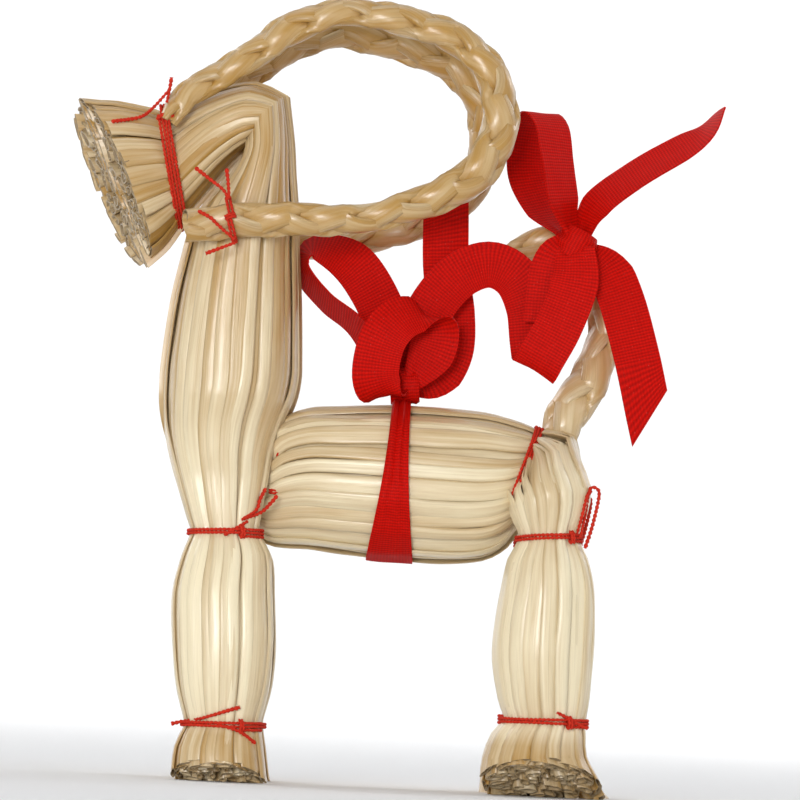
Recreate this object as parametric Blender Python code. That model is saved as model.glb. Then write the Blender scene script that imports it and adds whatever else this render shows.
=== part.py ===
"""A small straw goat: tied straw bundles, plaited horns and tail, a red ribbon with two bows.

Metres, +Z up. The goat stands on four feet at z = 0 and looks towards -X; its near side is -Y.
Its side view is drawn in millimetres for a goat of PLAN_HEIGHT, and follows GOAT_HEIGHT.
Across, the legs, bundles, horns and ribbon have sizes of their own.
"""

import math

import bmesh
import bpy
from mathutils import Vector
from mathutils.bvhtree import BVHTree

# Driving sizes, in metres
GOAT_HEIGHT = 0.117
BUNDLE_DEPTH = 0.0210  # the neck and the body, from side to side
LEG_DEPTH = 0.0140
LEG_STANCE = 0.0096  # from the middle plane to the middle of a leg
STRAW_WIDTH = 0.0039
STRAW_RELIEF = 0.00050  # how far a straw stands out over the seam beside it
HORN_SPREAD = 0.0076  # from the middle plane to the top of a horn
PLAIT_PITCH = 0.0250  # the length in which a strand goes across and back
PLAIT_FLATNESS = 0.74  # a plait's depth over its width
# As shares of half the plait's width and depth: how far a strand's middle swings, how far the
# strand reaches from there, and how thick the plait is between its strands.
STRAND_SWING = (0.56, 0.40)
STRAND_REACH = (0.44, 0.60)
PLAIT_HEART = 0.35
RIBBON_WIDTH = 0.0070
RIBBON_THICKNESS = 0.00045
KNOT_WIDTH = 0.0044
THREAD = 0.00060
TIE_WIDTH = 0.00100  # two turns of thread, side by side
TIE_KNOT = 0.00150  # the width of the knot in a tie
SOCKET_SLACK = 0.08  # how much deeper the tail's socket is than the plait, as a share of its width
CLEARANCE = 0.0003  # between pieces that lie on each other

# How finely the forms are faceted
PLAIT_POINTS = 9
PLAIT_STEPS = 7  # in each pitch
STRIP_STEPS = 2  # between two stations of the ribbon
TIE_POINTS = 10
WIDE_TIE_POINTS = 14  # round the muzzle and the rump
HORN_TIE_POINTS = 10
SOCKET_POINTS = 12
BAND_POINTS = 20
RAYS = 96  # that feel out the girth of what a tie goes round

PLAN_HEIGHT = 117.0
UNIT = GOAT_HEIGHT / PLAN_HEIGHT
ACROSS = Vector((0.0, 1.0, 0.0))
NEAR, FAR = -1, 1

STRAW_COLOUR = (0.74, 0.58, 0.31)
HORN_COLOUR = (0.66, 0.46, 0.20)
RIBBON_COLOUR = (0.62, 0.02, 0.02)
THREAD_COLOUR = (0.66, 0.06, 0.03)

# Sections along a bundle: two edges in the side view, then how far it reaches across from its own
# middle, as a share of half its depth, then the middle's place, as a share of the stance.
NECK = [
    ((-37.1, 76.9), (-48.5, 100.9), 0.95),
    ((-34.8, 79.2), (-43.4, 100.7), 0.84),
    ((-33.3, 81.5), (-38.6, 100.0), 0.70),
    ((-32.5, 83.2), (-35.6, 99.5), 0.62),
    ((-31.3, 82.8), (-31.8, 101.7), 0.74),
    ((-30.9, 82.2), (-25.6, 104.1), 0.86),
    ((-30.9, 81.6), (-17.9, 103.0), 0.92),
    ((-31.5, 80.5), (-16.4, 94.6), 0.94),
    ((-31.6, 78.0), (-15.2, 81.9), 0.95),
    ((-32.8, 71.3), (-14.4, 72.2), 0.97),
    ((-33.9, 62.5), (-13.9, 63.5), 1.00),
    ((-34.0, 55.9), (-13.8, 57.2), 0.92),
    ((-32.8, 53.7), (-15.0, 54.9), 0.62),
]
MUZZLE_TURN = math.radians(16)  # the cut end of the muzzle faces a little to the near side
FRONT_LEG = [
    ((-33.1, 58.4), (-14.9, 59.3), 0.66, 0.52),
    ((-33.5, 53.2), (-15.0, 54.2), 0.74, 0.60),
    ((-32.8, 49.5), (-17.3, 50.3), 0.71, 0.74),
    ((-30.8, 43.8), (-17.5, 44.4), 0.69, 0.85),
    ((-28.5, 36.2), (-18.0, 36.7), 0.66, 0.88),
    ((-29.5, 33.0), (-16.2, 33.7), 0.86, 0.91),
    ((-30.5, 27.3), (-15.6, 28.0), 0.97, 0.96),
    ((-30.1, 19.8), (-15.1, 20.5), 1.00, 1.00),
    ((-29.0, 13.5), (-15.5, 14.2), 0.92, 1.02),
    ((-27.7, 8.0), (-16.6, 8.6), 0.78, 1.03),
    ((-28.7, 4.7), (-16.0, 5.3), 0.92, 1.03),
    ((-29.2, -0.9), (-14.8, -0.8), 1.08, 1.04),
]
BODY = [
    ((-24.0, 39.9), (-24.3, 46.2), 0.15),
    ((-17.9, 37.5), (-18.5, 49.0), 0.20),
    ((-15.7, 36.0), (-16.5, 51.7), 0.56),
    ((-12.1, 35.4), (-13.1, 55.2), 0.84),
    ((-7.3, 35.0), (-8.3, 56.6), 0.98),
    ((-1.8, 34.7), (-3.0, 57.2), 1.03),
    ((4.5, 34.3), (3.3, 57.3), 1.04),
    ((11.1, 34.3), (10.0, 57.2), 1.03),
    ((17.1, 35.2), (16.3, 56.6), 0.96),
    ((20.2, 38.2), (19.9, 55.8), 0.86),
    ((22.8, 39.8), (23.2, 54.4), 0.70),
    ((26.0, 41.9), (26.4, 51.9), 0.50),
    ((27.7, 44.3), (28.4, 49.1), 0.28),
]
HIND_LEG = [
    ((23.2, 53.4), (28.0, 53.3), 0.44, 0.62),
    ((22.0, 51.0), (28.7, 51.1), 0.84, 0.76),
    ((20.8, 48.0), (29.6, 48.1), 1.00, 0.86),
    ((19.1, 44.6), (30.7, 44.9), 1.04, 0.90),
    ((20.5, 37.8), (29.1, 38.2), 0.80, 0.92),
    ((18.9, 34.5), (30.6, 35.1), 0.96, 0.92),
    ((18.1, 30.0), (31.7, 30.7), 1.04, 0.93),
    ((17.3, 20.9), (32.0, 21.7), 1.06, 0.95),
    ((18.4, 14.1), (31.6, 14.7), 0.92, 0.96),
    ((19.6, 10.8), (31.2, 11.4), 0.80, 0.96),
    ((17.0, 6.9), (30.9, 7.8), 1.00, 0.97),
    ((16.3, 1.5), (33.4, 3.1), 1.22, 1.00),
]
# Each foot's cut: its slant, rising to the outside, and how much lower than drawn its middle is, in
# millimetres. What would be under the ground is cut off flat.
FOOT_CUTS = {
    ("front", NEAR): (math.radians(23), -1.2),
    ("front", FAR): (0.0, 0.0),
    ("hind", NEAR): (math.radians(26), 0.2),
    ("hind", FAR): (math.radians(5), 3.4),
}

# A plait's middle line in the side view, half its width in millimetres, and its place across: for a
# horn as a share of the spread (0) or of its rest on the neck's side (1).
HORN = [
    ((-35.1, 97.2), 2.1, 0.10),
    ((-33.8, 99.6), 2.4, 0.0),
    ((-31.9, 101.7), 2.5, -0.1),
    ((-27.8, 104.6), 2.7, -0.1),
    ((-22.9, 107.8), 2.5, 0.0),
    ((-17.1, 112.2), 2.9, 0.0),
    ((-9.7, 115.0), 2.4, 0.05),
    ((-1.0, 114.2), 2.7, 0.1),
    ((6.9, 112.0), 2.9, 0.15),
    ((12.2, 107.8), 2.9, 0.2),
    ((14.5, 101.9), 3.1, 0.3),
    ((13.8, 95.4), 3.3, 0.45),
    ((9.7, 89.9), 3.1, 0.6),
    ((3.4, 86.5), 2.7, 0.75),
    ((-4.6, 83.8), 2.4, 0.9),
    ((-12.7, 83.1), 2.5, 1.0),
    ((-18.9, 82.8), 2.9, 1.0),
    ((-24.6, 82.4), 3.0, 1.0),
    ((-31.0, 81.3), 2.7, 0.88),
]
FAR_HORN_SHIFT = (-1.6, -0.9)  # the far horn lies a little lower and further forward
TAIL = [
    ((25.7, 52.6), 2.7, 0.0),
    ((25.8, 55.0), 2.9, 0.05),
    ((28.2, 59.0), 3.0, 0.3),
    ((31.1, 64.6), 2.9, 0.7),
    ((32.1, 71.5), 2.7, 1.0),
    ((31.0, 77.8), 2.7, 1.0),
    ((27.6, 82.4), 2.7, 1.0),
    ((23.1, 83.5), 2.7, 0.9),
    ((18.5, 81.2), 2.2, 0.7),
    ((15.8, 78.8), 1.2, 0.6),
]
TAIL_SET_BACK = 0.0030  # the tail's curl passes behind its bow

# The ribbon's runs: a point of its middle line in the side view, its place across in millimetres,
# then the direction of its width: an angle in the side view, and how far it is turned edge-on.
BACK_LOOP_REAR = [
    ((2.8, 60.2), 2.2, 16, 30),
    ((0.1, 65.4), 2.2, 14, 14),
    ((-1.7, 71.6), 1.4, 22, 10),
    ((-5.6, 77.6), 1.0, 36, 8),
    ((-9.5, 80.1), 1.4, 62, 35),
    ((-13.1, 80.4), 1.8, 110, 60),
    ((-14.0, 77.0), 1.6, 180, 70),
    ((-10.2, 72.4), 0.2, 220, 72),
    ((-5.0, 68.2), -1.2, 226, 66),
    ((1.3, 59.8), -2.6, 210, 40),
]
BACK_LOOP_NEAR = [
    ((1.9, 59.2), -1.8, 8, 6),
    ((-0.6, 58.3), -4.6, 6, 4),
    ((-2.1, 61.0), -6.6, 6, 4),
    ((-1.4, 66.0), -7.2, 8, 4),
    ((0.9, 69.5), -6.2, -8, 6),
    ((4.2, 70.7), -4.4, -24, 6),
    ((6.4, 69.0), -3.0, -34, 4),
    ((6.1, 65.4), -2.4, -34, 4),
    ((3.1, 60.2), -1.8, -14, 4),
]
BACK_STREAMER = [
    ((3.1, 60.2), 0.8, -50, 14),
    ((6.7, 61.6), 1.6, -42, 8),
    ((8.9, 65.9), 2.4, -16, 6),
    ((8.9, 71.6), 2.6, -2, 6),
    ((7.7, 78.4), 2.4, 0, 8),
    ((7.3, 85.9), 2.0, 2, 12),
]
ARCH = [
    ((2.4, 60.4), -0.4, -30, 10),
    ((3.4, 65.3), -0.6, -34, 4),
    ((5.6, 71.9), -0.8, -40, 4),
    ((9.4, 76.9), -0.8, -58, 8),
    ((14.0, 79.0), -1.0, -88, 14),
    ((18.0, 77.3), -1.6, -128, 12),
    ((20.3, 73.0), -2.2, -165, 6),
    ((21.1, 68.0), -2.6, -185, 4),
    ((21.6, 64.7), -3.0, -206, 2),
    ((21.5, 63.2), -4.4, -209, 2),
    ((22.6, 65.3), -5.8, -209, 2),
    ((24.9, 70.0), -6.2, -209, 3),
    ((27.5, 76.4), -5.6, -208, 6),
    ((28.3, 81.8), -4.2, -215, 16),
]
TAIL_LOOP_UP = [
    ((26.5, 83.6), -3.6, 0, 60),
    ((24.8, 88.4), -3.8, -4, 48),
    ((23.5, 95.1), -3.8, 0, 45),
    ((22.4, 100.2), -3.0, 4, 42),
    ((20.3, 102.2), -1.2, 6, 42),
    ((18.4, 99.4), 1.0, 4, 45),
    ((17.9, 93.1), 1.4, 4, 48),
    ((21.4, 87.2), 0.2, 10, 55),
    ((25.3, 83.2), -1.4, 10, 60),
]
TAIL_STREAMER_UP = [
    ((27.7, 83.3), -2.6, 120, 30),
    ((29.4, 88.2), -3.6, 125, 46),
    ((34.9, 93.0), -4.4, 120, 50),
    ((41.9, 97.5), -5.0, 122, 52),
    ((45.8, 100.4), -5.2, 132, 58),
    ((47.9, 103.9), -5.0, 150, 74),
]
TAIL_STREAMER_DOWN = [
    ((28.6, 81.6), -2.2, 50, 20),
    ((31.7, 79.3), -2.8, 38, 12),
    ((34.2, 74.0), -3.2, 20, 8),
    ((36.9, 65.8), -3.2, 16, 8),
    ((39.1, 57.2), -3.0, 18, 10),
]
# Which ends of a run are gathered into a knot.
RIBBON_RUNS = {
    "back loop rear": (BACK_LOOP_REAR, True, True),
    "back loop near": (BACK_LOOP_NEAR, True, True),
    "back streamer": (BACK_STREAMER, True, False),
    "arch": (ARCH, True, True),
    "tail loop up": (TAIL_LOOP_UP, True, True),
    "tail streamer up": (TAIL_STREAMER_UP, True, False),
    "tail streamer down": (TAIL_STREAMER_DOWN, True, False),
}
GATHERED_SHARE = 0.36  # of the ribbon's width, inside a knot
GATHERED_LENGTH = 0.0055  # from the knot to where the ribbon lies at its full width
BACK_KNOT = ((2.3, 60.0), -0.4)
TAIL_KNOT = ((26.9, 82.4), -2.8)


def at(plan, across=0.0):
    """A point of the side view, in metres."""
    return Vector((plan[0] * UNIT, across, plan[1] * UNIT))


def colour_of(name, colour, roughness):
    material = bpy.data.materials.new(name)
    material.use_nodes = True
    shader = material.node_tree.nodes["Principled BSDF"]
    shader.inputs["Base Color"].default_value = (*colour, 1.0)
    shader.inputs["Roughness"].default_value = roughness
    shader.inputs["Metallic"].default_value = 0.0
    material.diffuse_color = (*colour, 1.0)
    return material


def make_collection(name):
    collection = bpy.data.collections.new(name)
    bpy.context.scene.collection.children.link(collection)
    return collection


def add_mesh(name, rings, collection, closed=False, thin=False):
    """A skin over rings of points, closed by a face at each end or joined end to end.

    The two wide sides of a thin strip are split along the same diagonals, so that they never cross.
    """
    bm = bmesh.new()
    loops = [[bm.verts.new(point) for point in ring] for ring in rings]
    pairs = list(zip(loops, loops[1:]))
    if closed:
        pairs.append((loops[-1], loops[0]))
    for first, second in pairs:
        count = len(first)
        for i in range(count):
            j = (i + 1) % count
            corners = (first[i], first[j], second[j], second[i])
            if thin:
                turn = 0 if i < count // 2 else 1
                corners = corners[turn:] + corners[:turn]
                bm.faces.new((corners[0], corners[1], corners[2]))
                bm.faces.new((corners[0], corners[2], corners[3]))
            else:
                bm.faces.new(corners)
    if not closed:
        bm.faces.new(loops[0])
        bm.faces.new(loops[-1])
    bmesh.ops.recalc_face_normals(bm, faces=bm.faces)
    mesh = bpy.data.meshes.new(name)
    bm.to_mesh(mesh)
    bm.free()
    mesh.shade_smooth()
    mesh.set_sharp_from_angle(angle=math.radians(35))
    piece = bpy.data.objects.new(name, mesh)
    collection.objects.link(piece)
    return piece


def islands_of(bm):
    """The separate skins of a mesh, each a list of its faces."""
    left = set(bm.faces)
    islands = []
    while left:
        edge_of_island = [left.pop()]
        island = []
        while edge_of_island:
            face = edge_of_island.pop()
            island.append(face)
            for edge in face.edges:
                for other in edge.link_faces:
                    if other in left:
                        left.remove(other)
                        edge_of_island.append(other)
        islands.append(island)
    return islands


def volume_of(island):
    """The signed volume inside a skin: less than nothing where it faces inwards."""
    total = 0.0
    for face in island:
        corners = [vert.co for vert in face.verts]
        for a, b in zip(corners[1:], corners[2:]):
            total += corners[0].dot(a.cross(b)) / 6
    return total


def keep_outer_skin(piece):
    """Make the joined shape real, with the small pockets between its folds filled."""
    graph = bpy.context.evaluated_depsgraph_get()
    mesh = bpy.data.meshes.new_from_object(piece.evaluated_get(graph))
    piece.modifiers.clear()
    bm = bmesh.new()
    bm.from_mesh(mesh)
    bmesh.ops.triangulate(bm, faces=bm.faces)
    for island in islands_of(bm):
        if volume_of(island) <= 0:
            bmesh.ops.delete(bm, geom=island, context="FACES")
    bm.to_mesh(mesh)
    bm.free()
    piece.data = mesh


def hide_as_cutter(piece):
    piece.hide_render = True
    piece.display_type = "WIRE"


def combine(piece, other, operation):
    change = piece.modifiers.new(f"{operation.lower()} {other.name}", "BOOLEAN")
    change.operation = operation
    change.solver = "EXACT"
    change.object = other
    hide_as_cutter(other)


def between(p0, p1, p2, p3, t):
    """A smooth curve from p1 to p2."""
    return 0.5 * (
        2 * p1
        + (p2 - p0) * t
        + (2 * p0 - 5 * p1 + 4 * p2 - p3) * t**2
        + (3 * p1 - p0 - 3 * p2 + p3) * t**3
    )


def smooth(values, steps):
    """More values on a smooth curve through the given ones."""
    padded = [values[0] * 2 - values[1], *values, values[-1] * 2 - values[-2]]
    result = [
        between(*padded[i : i + 4], k / steps)
        for i in range(len(values) - 1)
        for k in range(steps)
    ]
    return [*result, values[-1]]


def straws_round(stations, depth):
    """How many straws fit round the widest section."""
    girths = []
    for front, back, reach, *_ in stations:
        wide = (at(back) - at(front)).length / 2
        deep = reach * depth / 2
        girths.append(2 * math.pi * math.sqrt((wide**2 + deep**2) / 2))
    return round(max(girths) / STRAW_WIDTH)


def bundle_section(front, back, deep, middle, turn, straws):
    """One section of a bundle: an oval whose straws stand out over their seams."""
    wide = (at(back) - at(front)) / 2
    centre = (at(back) + at(front)) / 2 + ACROSS * middle
    along = wide.cross(ACROSS).normalized()
    reach = (ACROSS * math.cos(turn) + along * math.sin(turn)) * deep
    points = []
    for i in range(2 * straws):
        angle = math.pi * i / straws
        out = wide * math.cos(angle) + reach * math.sin(angle)
        seam = STRAW_RELIEF if i % 2 else 0.0
        points.append(centre + out * (1 - seam / out.length))
    return points


def add_bundle(name, stations, depth, collection, side=0, turns=None):
    """A bundle of straws through its stations; side is the side that a leg is on."""
    straws = straws_round(stations, depth)
    turns = turns or {}
    rings = []
    for i, (front, back, reach, *place) in enumerate(stations):
        middle = side * place[0] * LEG_STANCE if place else 0.0
        deep = reach * depth / 2
        rings.append(bundle_section(front, back, deep, middle, turns.get(i, 0.0), straws))
    return add_mesh(name, rings, collection)


def strand_reach(angle, phase, half_width, half_depth):
    """How far the outermost of a plait's three strands reaches in one direction."""
    best = PLAIT_HEART * half_depth
    for strand in range(3):
        turn = phase + strand * 2 * math.pi / 3
        x = STRAND_SWING[0] * half_width * math.sin(turn)
        y = STRAND_SWING[1] * half_depth * math.sin(2 * turn)
        a, b = STRAND_REACH[0] * half_width, STRAND_REACH[1] * half_depth
        dx, dy = math.cos(angle), math.sin(angle)
        p = (dx / a) ** 2 + (dy / b) ** 2
        q = x * dx / a**2 + y * dy / b**2
        r = (x / a) ** 2 + (y / b) ** 2 - 1
        if q * q > p * r:
            best = max(best, (q + math.sqrt(q * q - p * r)) / p)
    return best


def add_plait(name, middles, half_widths, collection):
    """A plait of three strands along a line."""
    length = sum((b - a).length for a, b in zip(middles, middles[1:]))
    steps = max(1, round(length / PLAIT_PITCH * PLAIT_STEPS / (len(middles) - 1)))
    line = smooth(middles, steps)
    halves = smooth(half_widths, steps)
    rings = []
    travelled = 0.0
    for i, (point, half) in enumerate(zip(line, halves)):
        before, after = line[max(i - 1, 0)], line[min(i + 1, len(line) - 1)]
        travelled += (point - before).length
        tangent = (after - before).normalized()
        lateral = tangent.cross(ACROSS).normalized()
        outward = lateral.cross(tangent).normalized()
        phase = 2 * math.pi * travelled / PLAIT_PITCH
        ring = []
        for k in range(PLAIT_POINTS):
            angle = 2 * math.pi * (k + 0.5) / PLAIT_POINTS
            reach = strand_reach(angle, phase, half, half * PLAIT_FLATNESS)
            ring.append(point + (lateral * math.cos(angle) + outward * math.sin(angle)) * reach)
        rings.append(ring)
    return add_mesh(name, rings, collection)


def gathering(line, at_start, at_end):
    """The share of the ribbon's width at each point, narrower where it goes into a knot."""
    steps = [(b - a).length for a, b in zip(line, line[1:])]
    shares = []
    for i in range(len(line)):
        share = 1.0
        for gathered, far in ((at_start, sum(steps[:i])), (at_end, sum(steps[i:]))):
            if gathered and far < GATHERED_LENGTH:
                share = min(share, GATHERED_SHARE + (1 - GATHERED_SHARE) * far / GATHERED_LENGTH)
        shares.append(share)
    return shares


def strip_sections(stations, at_start, at_end):
    """Four corners at each step along a run of ribbon."""
    line = smooth([at(plan, across * UNIT) for plan, across, _, _ in stations], STRIP_STEPS)
    widths = []
    for _, _, roll, tilt in stations:
        roll, tilt = math.radians(roll), math.radians(tilt)
        flat = Vector((math.cos(roll), 0.0, math.sin(roll)))
        widths.append(flat * math.cos(tilt) + ACROSS * math.sin(tilt))
    shares = gathering(line, at_start, at_end)
    sections = []
    for i, (point, across) in enumerate(zip(line, smooth(widths, STRIP_STEPS))):
        tangent = (line[min(i + 1, len(line) - 1)] - line[max(i - 1, 0)]).normalized()
        across = (across - tangent * across.dot(tangent)).normalized() * shares[i] * RIBBON_WIDTH / 2
        through = tangent.cross(across).normalized() * RIBBON_THICKNESS / 2
        sections.append(
            [point - across - through, point + across - through,
             point + across + through, point - across + through]
        )
    return sections


def tree_of(piece):
    mesh = piece.data
    return BVHTree.FromPolygons([v.co for v in mesh.vertices], [p.vertices for p in mesh.polygons])


def outermost(trees, centre, direction, limit):
    """How far the piece round a centre, the first, and others on it reach in one direction."""
    place = trees[0].ray_cast(centre, direction, limit)[0]
    best = (place - centre).length if place is not None else 0.0
    for tree in trees[1:]:
        start = centre + direction * limit
        place = tree.ray_cast(start, -direction, limit)[0]
        if place is not None:
            best = max(best, (place - centre).length)
    return best


def taut_round(trees, edges, middle, points, half_width, limit):
    """A taut loop's radius in each direction: the hull of what it goes round, cut by its plane."""
    first, second = at(edges[0]), at(edges[1])
    up = (second - first).normalized()
    axis = up.cross(ACROSS)
    centre = (first + second) / 2 + ACROSS * middle
    directions = []
    reaches = []
    for i in range(RAYS):
        angle = 2 * math.pi * i / RAYS
        direction = up * math.cos(angle) + ACROSS * math.sin(angle)
        reach = max(
            outermost(trees, centre + axis * slide, direction, limit)
            for slide in (-1.5 * half_width, -half_width, 0.0, half_width, 1.5 * half_width)
        )
        directions.append(angle)
        reaches.append(reach)
    spots = [(r * math.cos(a), r * math.sin(a)) for r, a in zip(reaches, directions)]
    result = []
    for i in range(points):
        angle = 2 * math.pi * i / points
        best = 0.0
        for k in (-1, -0.5, 0, 0.5, 1):
            best = max(best, hull_reach(spots, angle + k * math.pi / points))
        result.append(best / math.cos(math.pi / points))
    return centre, up, axis, result


def hull_reach(spots, angle):
    """Where a ray from the centre leaves the hull of the spots."""
    dx, dy = math.cos(angle), math.sin(angle)
    best = 0.0
    left = [s for s in spots if dx * s[1] - dy * s[0] >= -1e-9 and dx * s[0] + dy * s[1] > -0.01]
    right = [s for s in spots if dx * s[1] - dy * s[0] < 1e-9]
    for a in left:
        ca = dx * a[1] - dy * a[0]
        for b in right:
            cb = dx * b[1] - dy * b[0]
            if ca - cb < 1e-12:
                best = max(best, dx * a[0] + dy * a[1])
                continue
            t = ca / (ca - cb)
            best = max(best, dx * (a[0] + t * (b[0] - a[0])) + dy * (a[1] + t * (b[1] - a[1])))
    return best


def add_band(name, loop, widths, thickness, collection):
    """A flat band along a taut loop, with its own width in each direction."""
    centre, up, axis, reaches = loop
    rings = []
    for i, reach in enumerate(reaches):
        angle = 2 * math.pi * i / len(reaches)
        out = up * math.cos(angle) + ACROSS * math.sin(angle)
        inner = centre + out * (reach + CLEARANCE)
        side = axis * widths[i] / 2
        rings.append(
            [inner - side, inner + side, inner + side + out * thickness, inner - side + out * thickness]
        )
    return add_mesh(name, rings, collection, closed=True)


def clear_of(point, trees, gap):
    """The point, moved out where it is nearer to a piece than the gap."""
    for tree in trees:
        place, normal, _, far = tree.find_nearest(point)
        if place is None:
            continue
        if (point - place).dot(normal) < gap:
            point = place + normal * gap
    return point


def add_tie(name, trees, edges, middle, tails, knot_side, parts, cutters, points=TIE_POINTS):
    """Two turns of thread pulled tight, with a knot and two loose ends on one side."""
    limit = (at(edges[1]) - at(edges[0])).length * 0.5 + BUNDLE_DEPTH * 0.75
    loop = taut_round(trees, edges, middle, points, TIE_WIDTH / 2, limit)
    tie = add_band(name, loop, [TIE_WIDTH] * points, THREAD, parts)
    centre, up, axis, reaches = loop
    index = round(points * knot_side / 360) % points
    angle = 2 * math.pi * index / points
    out = up * math.cos(angle) + ACROSS * math.sin(angle)
    knot = centre + out * (reaches[index] + CLEARANCE + TIE_KNOT / 3)
    ball = add_ball(f"{name} knot", knot, TIE_KNOT / 2, cutters)
    combine(tie, ball, "UNION")
    for i, (dx, dz) in enumerate(tails):
        reach = Vector((dx, 0.0, dz)) * UNIT
        spots = [
            clear_of(knot + (reach + out * THREAD) * share, trees, CLEARANCE + THREAD)
            for share in (0.0, 0.5, 1.0)
        ]
        tail = add_thread_end(f"{name} end {i + 1}", spots, cutters)
        combine(tie, tail, "UNION")
    return tie


def add_ball(name, centre, radius, collection, rounds=4):
    bm = bmesh.new()
    bmesh.ops.create_uvsphere(bm, u_segments=rounds, v_segments=rounds // 2, radius=radius)
    bmesh.ops.translate(bm, vec=centre, verts=bm.verts)
    mesh = bpy.data.meshes.new(name)
    bm.to_mesh(mesh)
    bm.free()
    piece = bpy.data.objects.new(name, mesh)
    collection.objects.link(piece)
    return piece


def add_thread_end(name, spots, collection):
    """A loose end of thread, three-sided, through its spots."""
    rings = []
    for i, spot in enumerate(spots):
        tangent = (spots[min(i + 1, len(spots) - 1)] - spots[max(i - 1, 0)]).normalized()
        side = tangent.cross(ACROSS).normalized()
        over = side.cross(tangent).normalized()
        rings.append(
            [
                spot + (side * math.cos(a) + over * math.sin(a)) * THREAD / 2
                for a in (math.pi / 2, math.pi * 7 / 6, math.pi * 11 / 6)
            ]
        )
    return add_mesh(name, rings, collection)


def horn_middles(side):
    """A horn's line: up and over from the muzzle, and down to rest on the side of the neck."""
    half_depth = HORN[-2][1] * UNIT * PLAIT_FLATNESS
    rest = BUNDLE_DEPTH / 2 + THREAD + 3 * CLEARANCE + half_depth
    shift = FAR_HORN_SHIFT if side == FAR else (0.0, 0.0)
    middles = []
    for i, (plan, _, share) in enumerate(HORN):
        ease = min(i, len(HORN) - 1 - i, 4) / 4
        place = (plan[0] + shift[0] * ease, plan[1] + shift[1] * ease)
        middles.append(at(place, side * (HORN_SPREAD * (1 - share) + rest * share)))
    return middles


def add_horn(name, side, parts):
    halves = [half * UNIT for _, half, _ in HORN]
    return add_plait(name, horn_middles(side), halves, parts)


def tail_middles():
    return [at(plan, share * TAIL_SET_BACK) for plan, _, share in TAIL]


def add_tail(parts):
    return add_plait("tail_braid", tail_middles(), [half * UNIT for _, half, _ in TAIL], parts)


def cut_tail_socket(body, cutters):
    """The rump is open round the tail's root, with clearance."""
    middles = tail_middles()
    root, next_one = middles[0], middles[1]
    direction = (next_one - root).normalized()
    radius = max(TAIL[0][1], TAIL[1][1]) * UNIT + CLEARANCE
    bottom = root - direction * CLEARANCE
    deepness = PLAIT_FLATNESS + SOCKET_SLACK
    rings = []
    for share in (0.0, 1.0, 2.0):
        centre = bottom + direction * share * (next_one - root).length
        side = direction.cross(ACROSS).normalized()
        rings.append(
            [
                centre + (side * math.cos(a) + ACROSS * math.sin(a) * deepness) * radius
                for a in (2 * math.pi * k / SOCKET_POINTS for k in range(SOCKET_POINTS))
            ]
        )
    socket = add_mesh("tail socket", rings, cutters)
    combine(body, socket, "DIFFERENCE")


def cut_at_ground(bundle, ground):
    combine(bundle, ground, "DIFFERENCE")


def make_ground(cutters):
    """What lies under the feet, which cuts them flat."""
    size = 3 * GOAT_HEIGHT
    bpy.ops.mesh.primitive_cube_add(size=size, location=(0.0, 0.0, -size / 2))
    ground = bpy.context.object
    ground.name = "ground"
    for collection in list(ground.users_collection):
        collection.objects.unlink(ground)
    cutters.objects.link(ground)
    return ground


def finish_piece(piece, colour, roughness):
    piece.data.materials.append(colour_of(piece.name, colour, roughness))


def belly_widths(points):
    """The belly band is gathered narrow on the back and flat below."""
    widths = []
    for i in range(points):
        lowness = (1 - math.cos(2 * math.pi * i / points)) / 2
        widths.append(RIBBON_WIDTH * (GATHERED_SHARE + (1 - GATHERED_SHARE) * lowness**2))
    return widths


def add_ribbon(body_tree, tail_tree, parts, cutters):
    """One length of ribbon: round the belly, a bow on the back, over to the tail, a bow there."""
    edges = ((1.3, 34.4), (2.0, 57.3))
    loop = taut_round([body_tree], edges, 0.0, BAND_POINTS, RIBBON_WIDTH / 4, BUNDLE_DEPTH)
    ribbon = add_band("ribbon", loop, belly_widths(BAND_POINTS), RIBBON_THICKNESS, parts)
    for name, (plan, across) in {"back knot": BACK_KNOT, "tail knot": TAIL_KNOT}.items():
        knot = add_ball(name, at(plan, across * UNIT), KNOT_WIDTH / 2, cutters, rounds=8)
        combine(ribbon, knot, "UNION")
    for name, (stations, at_start, at_end) in RIBBON_RUNS.items():
        run = add_mesh(name, strip_sections(stations, at_start, at_end), cutters, thin=True)
        combine(ribbon, run, "UNION")
    keep_outer_skin(ribbon)
    return ribbon


def add_leg(leg, side, word, stations, cutters):
    """A leg, whose last section is its slanted cut."""
    slant, drop = FOOT_CUTS[(leg, side)]
    front, back, *rest = stations[-1]
    cut = ((front[0], front[1] - drop), (back[0], back[1] - drop), *rest)
    turns = {len(stations) - 1: side * slant}
    return add_bundle(f"{leg} leg {word}", [*stations[:-1], cut], LEG_DEPTH, cutters, side, turns)


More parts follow.
